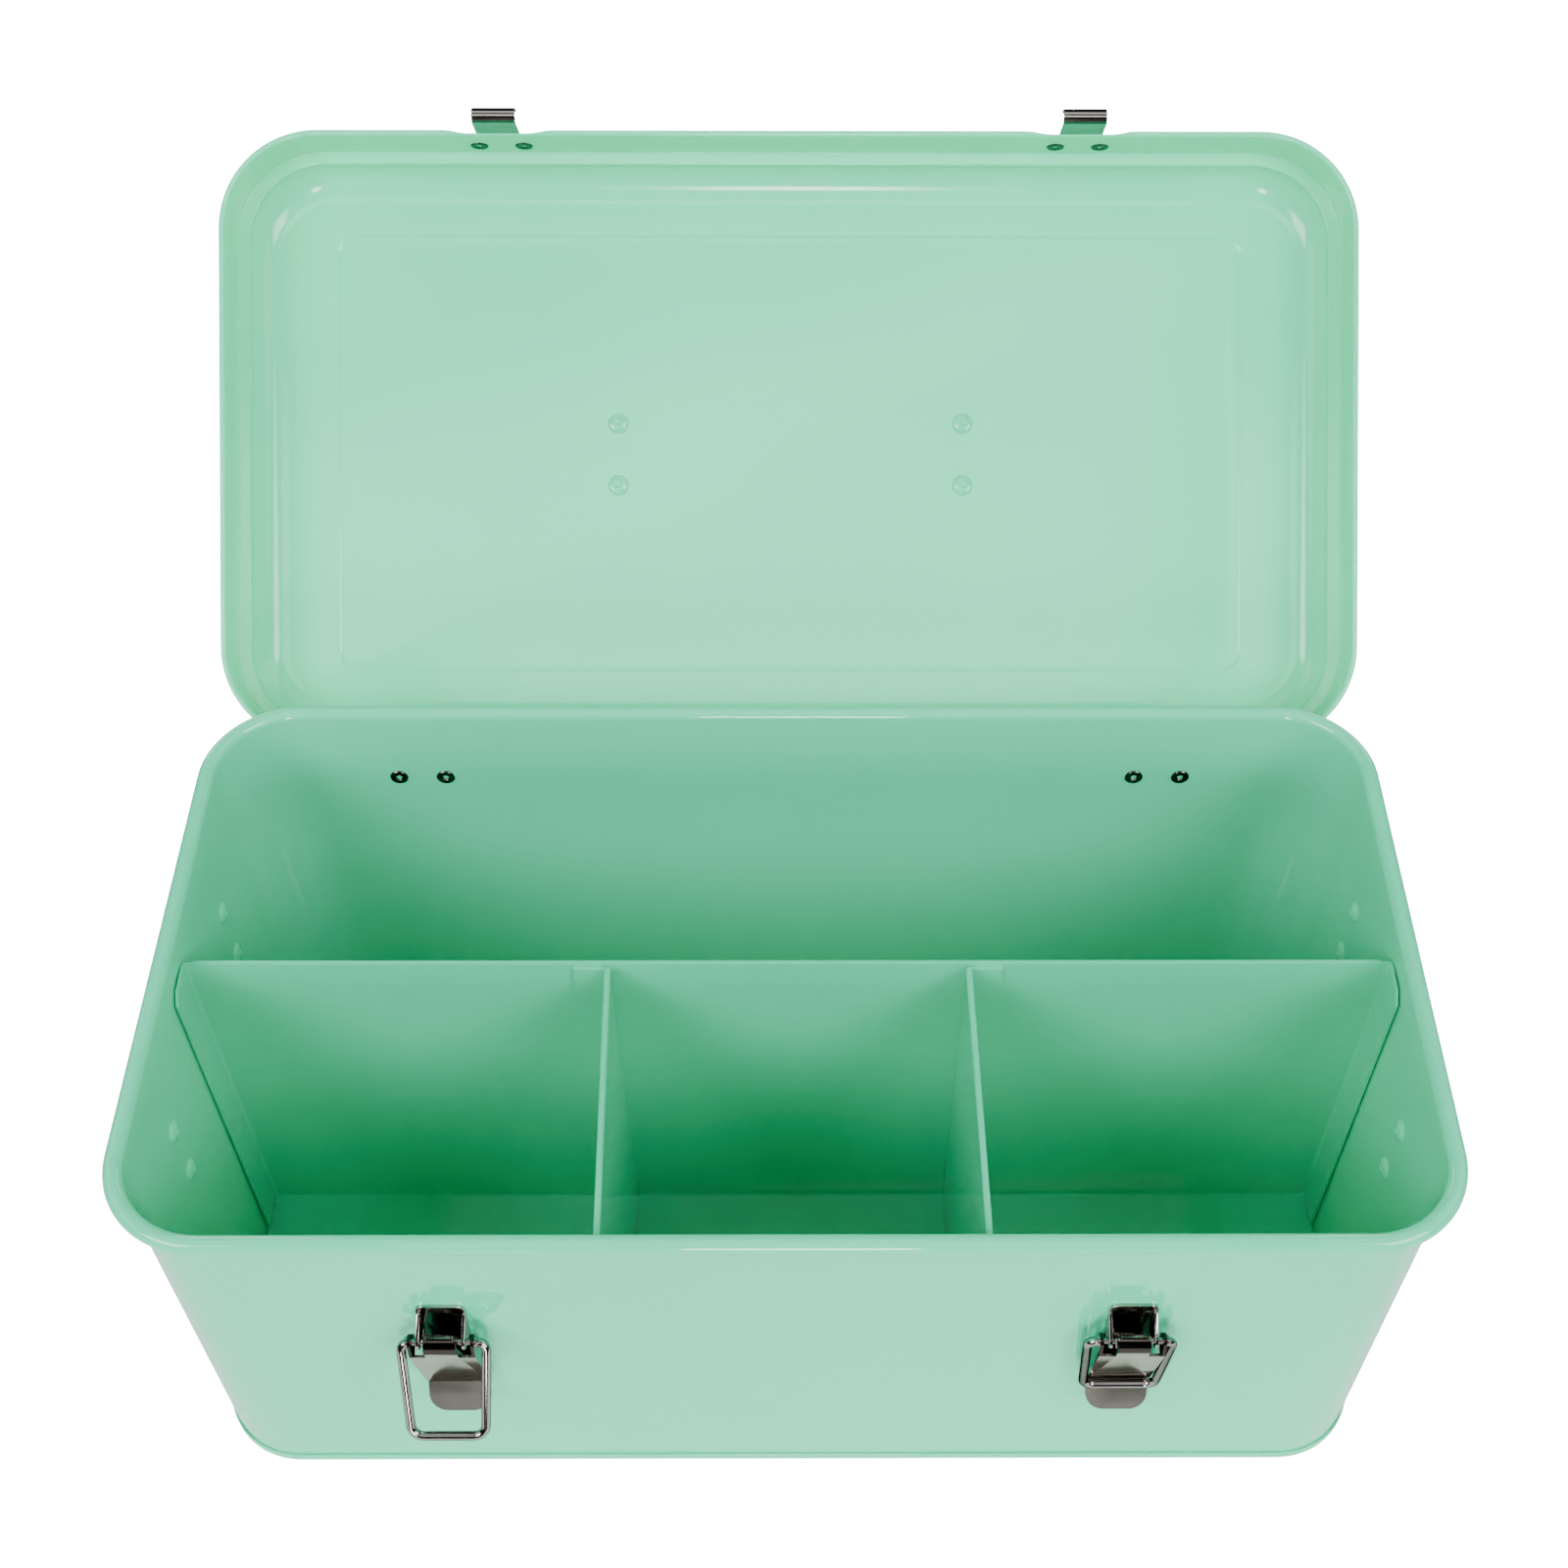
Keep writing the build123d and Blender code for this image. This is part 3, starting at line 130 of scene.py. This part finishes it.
def stack_mesh(name, rings, caps=True, ring_closed=False):
    """Mesh from an array of rings (rows, points, xyz) in millimetres: each ring joins the
    next by a row of quads. Flat caps close the ends, or the last ring joins the first."""
    rows, count = rings.shape[:2]
    index = np.arange(rows * count).reshape(rows, count)
    if ring_closed:
        index = np.vstack([index, index[:1]])
    low, high = index[:-1], index[1:]
    quads = np.stack([low, np.roll(low, -1, 1), np.roll(high, -1, 1), high], -1).reshape(-1, 4)
    faces = quads.tolist()
    if caps and not ring_closed:
        faces += [index[0][::-1].tolist(), index[-1].tolist()]
    mesh = bpy.data.meshes.new(name)
    mesh.from_pydata((rings.reshape(-1, 3) * MM).tolist(), [], faces)
    bm = bmesh.new()
    bm.from_mesh(mesh)
    bmesh.ops.recalc_face_normals(bm, faces=bm.faces)
    bm.to_mesh(mesh)
    bm.free()
    smooth(mesh)
    piece = bpy.data.objects.new(name, mesh)
    bpy.context.scene.collection.objects.link(piece)
    return piece


def opened(points):
    """Turn points of the closed lid about the hinge line, by the open angle: the plane
    rotation (y cos t - z sin t, y sin t + z cos t) round the pin."""
    out = points.copy()
    y, z = points[..., 1] - PIN[0], points[..., 2] - PIN[1]
    out[..., 1] = PIN[0] + y * math.cos(OPEN) - z * math.sin(OPEN)
    out[..., 2] = PIN[1] + y * math.sin(OPEN) + z * math.cos(OPEN)
    return out


# %% [markdown]
# ## Shader maths
# Materials are procedural. One small class wraps a node socket so that a formula can be
# written as plain arithmetic, and one method adds any other node.

# %% A socket that does arithmetic
class Sock:
    """A socket of a node tree; + - * / and ** on it add Math nodes."""

    def __init__(self, tree, socket):
        self.tree, self.socket = tree, socket

    def node(self, kind, settings=None, inputs=None, output=0):
        made = self.tree.nodes.new(kind)
        for key, value in (settings or {}).items():
            setattr(made, key, value)
        for key, value in (inputs or {}).items():
            if isinstance(value, Sock):
                self.tree.links.new(value.socket, made.inputs[key])
            else:
                made.inputs[key].default_value = value
        return Sock(self.tree, made.outputs[output])

    def math(self, operation, first, second=0.0):
        return self.node("ShaderNodeMath", {"operation": operation}, {0: first, 1: second})

    def __add__(self, other): return self.math("ADD", self, other)
    def __radd__(self, other): return self.math("ADD", other, self)
    def __sub__(self, other): return self.math("SUBTRACT", self, other)
    def __rsub__(self, other): return self.math("SUBTRACT", other, self)
    def __mul__(self, other): return self.math("MULTIPLY", self, other)
    def __rmul__(self, other): return self.math("MULTIPLY", other, self)
    def __truediv__(self, other): return self.math("DIVIDE", self, other)
    def __pow__(self, other): return self.math("POWER", self, other)

    def clamp(self, low=0.0, high=1.0):
        return self.node("ShaderNodeMapRange", {"clamp": True},
                         {0: self, 1: low, 2: high, 3: 0.0, 4: 1.0})

    def noise(self, scale, detail=2.0, roughness=0.5):
        return self.node("ShaderNodeTexNoise", {}, {"Vector": self, "Scale": scale,
                                                     "Detail": detail, "Roughness": roughness})

    def mix(self, first, second):
        """Colour blend with this socket as the factor."""
        made = self.node("ShaderNodeMix", {"data_type": "RGBA"}, {0: self}, 2)
        for slot, value in ((6, first), (7, second)):
            if isinstance(value, Sock):
                self.tree.links.new(value.socket, made.socket.node.inputs[slot])
            else:
                made.socket.node.inputs[slot].default_value = (*value, 1.0)
        return made


def material(name, **fixed):
    """New material: returns it, its shader node and the Object coordinates."""
    made = bpy.data.materials.new(name)
    made.use_nodes = True
    tree = made.node_tree
    shader = tree.nodes["Principled BSDF"]
    for key, value in fixed.items():
        socket = shader.inputs[key.replace("_", " ")]
        socket.default_value = (*value, 1.0) if isinstance(value, tuple) else value
    where = tree.nodes.new("ShaderNodeTexCoord")
    return made, shader, Sock(tree, where.outputs["Object"])


def feed(shader, name, sock):
    sock.tree.links.new(sock.socket, shader.inputs[name])


def bump(sock, height, strength, distance):
    """Bump node: how strongly a height in metres tilts the surface."""
    return sock.node("ShaderNodeBump", {}, {"Height": height, "Strength": strength,
                                             "Distance": distance})


# %% [markdown]
# ## Baked mint enamel
# The paint is a stoved gloss enamel. Three things make it read as paint: a slow drift of
# tone where it lies thicker, the orange peel that sprayed paint always has, and a few
# specks of dust that were caught in it. The peel must be faint, or the reflections break.

# %% Mint enamel
MINT = (0.060, 0.745, 0.405)


def enamel(name, paint=MINT, peel=1.0, specks=True, gloss=1.0, haze=0.035):
    """Paint under a clear coat. Gloss is the coat's weight, haze its roughness."""
    made, shader, spot = material(name, Specular_IOR_Level=0.0, Coat_Weight=gloss,
                                  Coat_Roughness=haze, Coat_IOR=1.5)
    drift = spot.noise(9.0, 3.0)
    light = tuple(min(1, c * 1.03) for c in paint)
    deep = tuple(c * 0.95 for c in paint)
    colour = drift.clamp(0.3, 0.7).mix(deep, light)
    if specks:
        cells = spot.node("ShaderNodeTexVoronoi", {}, {"Vector": spot, "Scale": 26.0,
                                                        "Randomness": 1.0})
        spread = spot.node("ShaderNodeTexWhiteNoise", {}, {
            "Vector": Sock(spot.tree, cells.socket.node.outputs["Position"])})
        rare = spread.math("GREATER_THAN", spread, 0.93)
        dot = cells.math("LESS_THAN", cells, 0.016)
        colour = (rare * dot * 0.55).mix(colour, (0.03, 0.16, 0.10))
    feed(shader, "Base Color", colour)
    feed(shader, "Roughness", 0.30 + spot.noise(60.0, 2.0) * 0.12)
    feed(shader, "Normal", bump(spot, spot.noise(330.0, 1.5), 0.05 * peel, 0.0006))
    return made


mint_body = enamel("mint enamel, box")
# The lid's copy of the enamel is painted lighter than the box's: painted light for the lit inside of the
# open lid.
mint_lid_painted_light = enamel("mint enamel, lid, painted lighter", (0.085, 0.88, 0.47), gloss=1.0, haze=0.13)
# The dividers' copy of the enamel is painted darker than the box's: painted shade for the insert that
# stands down inside the box.
mint_dividers_painted_shade = enamel("mint enamel, dividers, painted darker", (0.046, 0.66, 0.365), specks=False)
mint_handle = enamel("mint enamel, handles", peel=0.6, specks=False)

# %% [markdown]
# ## Bright nickel and plain steel
# The latches are nickel plated. Bright nickel is a warm mirror, so it is mostly what it
# reflects; the finger tab and the wire are a little more satin. The tab is also painted much
# darker than the plate, as painted shade, and the hoods take a near-black nickel, as a
# painted dark reflection. The wire's black edge tint paints a dark outline on it. Fine
# rubbed lines and soft blotches keep it from looking like a rendering of chrome.

# %% Plated metals
def plate(name, colour, roughness, grain=1.0, spread=0.05, edge=(0.66, 0.64, 0.60)):
    """Metal of a given colour. Edge is its tint at a glancing angle; a dark edge gives a
    round wire a painted dark outline."""
    made, shader, spot = material(name, Metallic=1.0, Specular_Tint=edge)
    stretch = spot.node("ShaderNodeMapping", {}, {"Vector": spot, "Scale": (1.0, 0.06, 0.06)})
    rub = stretch.noise(5200.0, 3.0, 0.6)
    cloud = spot.noise(160.0, 3.0)
    pale = tuple(min(1.0, c * 1.05) for c in colour)
    dull = tuple(c * 0.86 for c in colour)
    feed(shader, "Base Color", cloud.clamp(0.25, 0.75).mix(dull, pale))
    feed(shader, "Roughness", (roughness - spread / 2) + cloud * spread + rub * (0.05 * grain))
    feed(shader, "Normal", bump(spot, rub, 0.04 * grain, 0.0002))
    return made


bright_nickel = plate("bright nickel", (0.40, 0.375, 0.345), 0.07)
# Near-black nickel for the latch hoods: a painted dark reflection, not a plating of their own.
hood_nickel_painted_dark = plate("hood nickel, painted dark", (0.050, 0.043, 0.038), 0.06)
# The finger tab's nickel is really satin, and its colour is painted far darker than the plate: painted
# shade.
tab_nickel_satin_painted_shade = plate("tab nickel, satin, painted darker", (0.088, 0.084, 0.074), 0.34, 2.0)
# The wire's edge tint is black: a painted dark outline along the wire.
wire_nickel = plate("nickel wire", (0.34, 0.325, 0.31), 0.08, 0.1, 0.02, (0.0, 0.0, 0.0))
rivet_steel = plate("rivet steel", (0.30, 0.287, 0.270), 0.16)
dark_steel = plate("dark steel", (0.115, 0.108, 0.100), 0.14)

# %% [markdown]
# ## The box wall
# The wall is one strip of tin rolled outward over itself at the top. Its cross-section is
# drawn once, up the outside, round the curl and down the inside, and carried round the
# rounded outline.

# %% Box wall
def profile_rings(outline, profile, y=0.0, run=24, corner=20):
    """Carry a profile of (offset, height) round an outline: point = outline point +
    offset x outward normal. Rows are the profile's points, one ring each."""
    base, normal = rounded_loop(*outline, run, corner)
    flat = base[None] + profile[:, :1, None] * normal[None]
    height = np.repeat(profile[:, 1:], len(base), axis=1)
    return np.dstack([flat[..., 0], flat[..., 1] + y, height])


curl_start = 180 + math.degrees(math.acos((CURL_R - SHEET) / CURL_R))
wall_profile = np.vstack([
    [(0, 0.65), (0, 60), (0, 120)],
    arc_points((CURL_R - SHEET, RIM_Z), CURL_R, curl_start, 540, 36),
    [(-SHEET, 120), (-SHEET, 60), (-SHEET, 0.65)],
])
box_wall = stack_mesh("box_wall", profile_rings(WALL, wall_profile), ring_closed=True)
box_wall.data.materials.append(mint_body)
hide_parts("body_shell")
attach(box_wall, "box")
print("box wall faces", len(box_wall.data.polygons))

# %% [markdown]
# ## The base pan
# The bottom is a separate pan whose edge is folded up round the wall and pressed tight,
# which leaves the small bead that runs round the foot.

# %% Base pan
pan_profile = np.vstack([
    [(-6, 0.0)],
    arc_points((-0.55, 0.55), 0.55, -90, 0, 6),
    arc_points((-0.28, 2.92), 0.28, 0, 90, 6),
    arc_points((-0.30, 2.92), 0.28, 90, 180, 5),
    [(-0.60, 0.75), (-0.75, 0.60), (-6, 0.60)],
])
base_pan = stack_mesh("base_pan_skin", profile_rings(PAN, pan_profile))
base_pan.data.materials.append(mint_body)
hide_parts("base_pan")
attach(base_pan, "box")

# %% [markdown]
# ## The lid
# The lid is pressed in one go: a skirt with a rolled bead, a narrow ledge that sits over
# the box's rim, a rounded shoulder and a flat top with a shallow raised panel. The loops
# start in the middle of the outside, run out and down to the bead and come back inside.
# Where a hinge or a catch passes the bead, the bead is pressed flat, so its outward part
# is faded there along the loop.

# %% Lid shell
DOME_IN = -3.7
SHOULDER = 9.9
outer = np.vstack([
    arc_points((DOME_IN - SHOULDER, DOME_Z - SHOULDER), SHOULDER, 90, 0, 16),
    arc_points((DOME_IN + 0.35, LEDGE_Z + 0.35), 0.35, 180, 270, 4),
    arc_points((-1.2, LEDGE_Z - 1.2), 1.2, 90, 0, 7),
    [(0, 125.0)],
    arc_points((0.3, HEM_Z + 0.9), 0.9, 109, -180, 22),
    [(-SHEET, 125.0)],
    arc_points((-1.1, LEDGE_Z - 1.1), 0.5, 0, 90, 5),
    arc_points((DOME_IN - SHEET + 0.45, LEDGE_Z - SHEET + 0.45), 0.45, 270, 180, 6),
    arc_points((DOME_IN - SHEET - 9.3, DOME_Z - SHEET - 9.3), 9.3, 0, 90, 16),
])
EMBOSS = (137.8, 66.4, 6.0)


def panel_rings(face_z, rising):
    """Soft step of the raised panel: offset runs in from +0.3 to -1.3 while the height
    follows half a cosine wave from 0 to 0.5."""
    t = np.linspace(0, 1, 7)
    step = np.c_[0.3 - 1.6 * t, face_z + 0.25 * (1 - np.cos(np.pi * t))]
    step = step if rising else step[::-1]
    return profile_rings(EMBOSS, step, LID_Y, LID_RUN)


LID_RUN = 150
skin = profile_rings(SKIRT, outer, LID_Y, LID_RUN)
x, y = skin[..., 0], skin[..., 1]
press = np.zeros_like(x)
for centre, half, front in ((CATCH_X, 8.0, True), (HINGE_X, 13.1, False)):
    reach = np.clip((half + 8.0 - np.abs(np.abs(x) - centre)) / 8.0, 0, 1)
    ease = reach * reach * (3 - 2 * reach)
    press = np.maximum(press, ease * ((y < -80) if front else (y > 80)))
proud = np.maximum(outer[:, :1], 0) * np.ones_like(x)
skin[..., 1] -= np.sign(y) * proud * press
lid_rings = np.concatenate([
    panel_rings(DOME_Z, False), skin, panel_rings(DOME_Z - SHEET, True)])
lid_skin = stack_mesh("lid_skin", opened(lid_rings))
lid_skin.data.materials.append(mint_lid_painted_light)
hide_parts("lid_shell")
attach(lid_skin, "lid")
print("lid faces", len(lid_skin.data.polygons))

# %% [markdown]
# ## Folded and stamped parts
# Dividers, brackets, levers, catches and hinge leaves are folded from flat sheet, and the
# engineering solids already have their folds, holes and ears. What they lack is the tiny
# radius of a stamped edge, and without it no edge catches the light. So each one is
# copied, its triangles are merged back to flat faces, and a fine Bevel finishes it.

# %% Softened copies of the solids
def softened(node, finish, width, segments=2, dissolve=1.0):
    """Copy of a CAD node with its edges rounded by a bevel of width millimetres."""
    source = nodes[node]
    mesh = source.data.copy()
    mesh.name = node + "_piece"
    bm = bmesh.new()
    bm.from_mesh(mesh)
    bmesh.ops.remove_doubles(bm, verts=bm.verts, dist=2e-6)
    bmesh.ops.dissolve_limit(bm, angle_limit=math.radians(dissolve), verts=bm.verts,
                             edges=bm.edges, use_dissolve_boundaries=False)
    bm.to_mesh(mesh)
    bm.free()
    mesh.materials.clear()
    mesh.materials.append(finish)
    piece = bpy.data.objects.new(node + "_piece", mesh)
    bpy.context.scene.collection.objects.link(piece)
    edge = piece.modifiers.new("stamped edge", "BEVEL")
    edge.width = width * MM
    edge.segments = segments
    edge.limit_method = "ANGLE"
    edge.angle_limit = math.radians(38)
    edge.use_clamp_overlap = True
    edge.harden_normals = False
    smooth(mesh, 38)
    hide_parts(node)
    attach(piece, source["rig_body"])
    return piece


for node in ("divider_long", "cross_divider_left", "cross_divider_right"):
    softened(node, mint_dividers_painted_shade, 0.18)
for side in ("left", "right"):
    softened(f"latch_{side}_bracket", bright_nickel, 0.10)
    lever = softened(f"latch_{side}_lever", bright_nickel, 0.14)
    lever.data.materials.append(tab_nickel_satin_painted_shade)
    lever.data.materials.append(hood_nickel_painted_dark)
    # Faces below the tab line take the tab's darker satin plate (painted shade); faces above the hood
    # line take the near-black hood plate (painted dark reflection).
    for face in lever.data.polygons:
        face.material_index = 1 if face.center.z < TAB_Z * MM else 2 if face.center.z > HOOD_Z * MM else 0
    softened(f"catch_{side}", bright_nickel, 0.12)
    softened(f"hinge_{side}_body_leaf", bright_nickel, 0.10)
    softened(f"hinge_{side}_lid_leaf", bright_nickel, 0.10)
    softened(f"lid_handle_saddle_{side}", mint_handle, 0.18)
    for end in ("front", "rear"):
        softened(f"side_handle_{side}_saddle_{end}", mint_handle, 0.18)

# %% [markdown]
# ## The wire bails
# A nickel wire shows every facet, so the two bails are swept again as smooth tubes along
# the bent line of the wire: straight runs with an arc at each corner.

# %% Latch bails
BAIL_LINE = np.array([(-7.2, 0), (-10.85, 0), (-9.4, 27.2195), (9.4, 27.2195), (10.85, 0), (7.2, 0)])
BAIL_BENDS = (2.4, 3.2, 3.2, 2.4)
BAIL_R = 1.2
BAIL_PIVOT = (86.5, -87.9, 83.2)


def filleted(corners, bends, count=14):
    """Polyline whose inner corners are rounded by arcs tangent to both runs. Returns its
    points and unit tangents."""
    unit = lambda v: v / np.linalg.norm(v)
    path, tangents = [corners[:1]], [unit(corners[1] - corners[0])[None]]
    for before, corner, after, bend in zip(corners, corners[1:], corners[2:], bends):
        into, out = unit(corner - before), unit(after - corner)
        turn = math.acos(into @ out)
        side = unit(out - into * (into @ out))
        t = np.linspace(0, turn, count)[:, None]
        start = corner - into * bend * math.tan(turn / 2)
        path.append(start + bend * (np.sin(t) * into + (1 - np.cos(t)) * side))
        tangents.append(np.cos(t) * into + np.sin(t) * side)
    path.append(corners[-1:])
    tangents.append(unit(corners[-1] - corners[-2])[None])
    return np.vstack(path), np.vstack(tangents)


def wire_bail(side, swing):
    """Tube round the bail's line: ring = point + radius (cos a, sin a) across the wire, in
    the plane that hangs from the pivot at the swing angle."""
    line, tangent = filleted(BAIL_LINE, BAIL_BENDS)
    a = np.linspace(0, 2 * np.pi, 28, endpoint=False)
    down = np.array([0, -math.sin(swing), -math.cos(swing)])
    across = np.array([1.0, 0, 0])
    square = np.cross(across, down)
    place = lambda uv: uv[:, :1] * across + uv[:, 1:] * down
    inward = place(np.c_[-tangent[:, 1], tangent[:, 0]])
    rings = (place(line)[:, None] + BAIL_R * (np.cos(a)[None, :, None] * inward[:, None]
                                              + np.sin(a)[None, :, None] * square))
    sign = -1 if side == "left" else 1
    rings += np.array([sign * BAIL_PIVOT[0], BAIL_PIVOT[1], BAIL_PIVOT[2]])
    node = f"latch_{side}_bail"
    bail = stack_mesh(node + "_wire", rings)
    bail.data.materials.append(wire_nickel)
    solid = np.array([v.co for v in nodes[node].data.vertices]) * 1000
    flat = rings.reshape(-1, 3)
    print(node, "off the solid by mm", np.round(flat.min(0) - solid.min(0), 2),
          np.round(flat.max(0) - solid.max(0), 2))
    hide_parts(node)
    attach(bail, nodes[node]["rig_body"])


wire_bail("left", math.radians(33.0))
wire_bail("right", math.radians(-2.1))

# %% [markdown]
# ## Parts that keep their solids
# Handles, pins, springs and rivets are round already, so they keep the engineering mesh and
# only take a finish.

# %% Finishes for the remaining solids
def dress(node, finish):
    """Give a CAD node its finish; its mesh stays as it is."""
    item = nodes[node]
    item.data.materials.clear()
    item.data.materials.append(finish)


for node in nodes:
    if "rivets" in node:
        dress(node, mint_handle if "handle" in node else dark_steel)
    elif "pin" in node:
        dress(node, rivet_steel)
    elif "spring" in node:
        dress(node, rivet_steel)
    elif "handle" in node and "bail" in node:
        dress(node, mint_handle)

# %% [markdown]
# ## Floor, light and camera
# The studio is white: a ground and a round backdrop, burnt out for the camera alone, and
# a matt white card under the box that bounces light up its walls. Two large softboxes at
# the front corners do most of the work, and they leave the middle dark, so that the
# latches' hoods stay dark as well, on top of the near-black nickel painted on the hoods as a
# dark reflection. Weaker ones fill from above, from low in front, from the sides and from
# behind.

# %% Ground and bounce card
def plane_piece(name, size_x, size_y, y, z, finish):
    """Flat rectangle on the studio's floor; not part of the object."""
    mesh = bpy.data.meshes.new(name)
    sx, sy = size_x / 2, size_y / 2
    mesh.from_pydata([(-sx, y - sy, z), (sx, y - sy, z), (sx, y + sy, z), (-sx, y + sy, z)],
                     [], [(0, 1, 2, 3)])
    mesh.materials.append(finish)
    piece = bpy.data.objects.new(name, mesh)
    bpy.context.scene.collection.objects.link(piece)
    return piece


ground_white, ground_shader, ground_spot = material("burnt-out ground", Roughness=0.9,
                                                    Emission_Strength=22.0)
feed(ground_shader, "Base Color", ground_spot.noise(3.0).mix((0.85, 0.85, 0.85), (0.88, 0.88, 0.88)))
ground_shader.inputs["Emission Color"].default_value = (1, 1, 1, 1)
ground = plane_piece("studio_ground", 12.0, 12.0, 0.0, -0.0002, ground_white)
turn = np.linspace(0, 2 * np.pi, 64, endpoint=False)
round_wall = np.array([np.c_[5.8e3 * np.cos(turn), 5.8e3 * np.sin(turn), np.full(64, z)]
                       for z in (-1.0, 9.0e3)])
backdrop = stack_mesh("studio_backdrop", round_wall, caps=False)
backdrop.data.materials.append(ground_white)
for stage_piece in (ground, backdrop):
    for ray in ("visible_diffuse", "visible_glossy", "visible_transmission", "visible_shadow"):
        setattr(stage_piece, ray, False)

card_white, card_shader, card_spot = material("white card", Roughness=0.8, Emission_Strength=0.10)
feed(card_shader, "Base Color", card_spot.noise(5.0).mix((0.84, 0.84, 0.84), (0.88, 0.88, 0.88)))
card_shader.inputs["Emission Color"].default_value = (1, 1, 1, 1)
card = plane_piece("bounce_card", 1.1, 0.8, -0.15, -0.001, card_white)
card.visible_camera = False

# %% Lights
def area_light(name, place, aim, size, power, size_y=None):
    lamp = bpy.data.lights.new(name, "AREA")
    lamp.energy = power
    lamp.size = size
    if size_y:
        lamp.shape = "RECTANGLE"
        lamp.size_y = size_y
    thing = bpy.data.objects.new(name, lamp)
    thing.location = place
    thing.rotation_euler = (Vector(aim) - Vector(place)).to_track_quat("-Z", "Y").to_euler()
    bpy.context.scene.collection.objects.link(thing)
    return thing


area_light("overhead softbox", (0.0, 0.35, 1.7), (0, 0.05, 0.1), 1.5, 4.5, 0.7)
area_light("camera side softbox", (0.0, -0.95, 1.75), (0, 0, 0.1), 0.9, 4.5, 0.5)
area_light("low front softbox", (0.0, -1.7, 0.32), (0, 0, 0.1), 0.24, 12.0, 0.45)
area_light("front left softbox", (-1.2, -1.05, 1.35), (0, 0, 0.1), 1.0, 39.0, 1.0)
area_light("front right softbox", (1.2, -1.05, 1.35), (0, 0, 0.1), 1.0, 37.0, 1.0)
area_light("left softbox", (-1.5, 0.4, 1.15), (0, 0, 0.12), 1.2, 6.5, 1.0)
area_light("right softbox", (1.5, 0.4, 1.15), (0, 0, 0.12), 1.2, 7.0, 1.0)
area_light("back left softbox", (-1.1, 1.9, 0.85), (0, 0, 0.1), 1.0, 16.0, 1.0)
area_light("back right softbox", (1.1, 1.9, 0.85), (0, 0, 0.1), 1.0, 15.0, 1.0)

world = bpy.data.worlds.new("studio")
world.use_nodes = True
world.node_tree.nodes["Background"].inputs["Color"].default_value = (1, 1, 1, 1)
world.node_tree.nodes["Background"].inputs["Strength"].default_value = 0.03
bpy.context.scene.world = world

# %% Camera
LENS_PX = 2089.9
pitch, yaw, roll = 0.8984, -0.0110, 0.0082
eye = Vector((4.67, -317.77, 558.73)) * MM
back = Vector((math.sin(yaw) * math.cos(pitch), -math.cos(yaw) * math.cos(pitch), math.sin(pitch)))
level = Vector((math.cos(yaw), math.sin(yaw), 0))
above = back.cross(level)
right = level * math.cos(roll) + above * math.sin(roll)
upward = above * math.cos(roll) - level * math.sin(roll)
lens = bpy.data.cameras.new("camera")
lens.sensor_width = 36.0
lens.lens = LENS_PX / 1600 * 36.0
lens.shift_x = -36.75 / 1600
lens.shift_y = 97.08 / 1600
lens.clip_start = 0.01
camera = bpy.data.objects.new("camera", lens)
camera.matrix_world = Matrix.Translation(eye) @ Matrix((right, upward, back)).transposed().to_4x4()
bpy.context.scene.collection.objects.link(camera)
bpy.context.scene.camera = camera
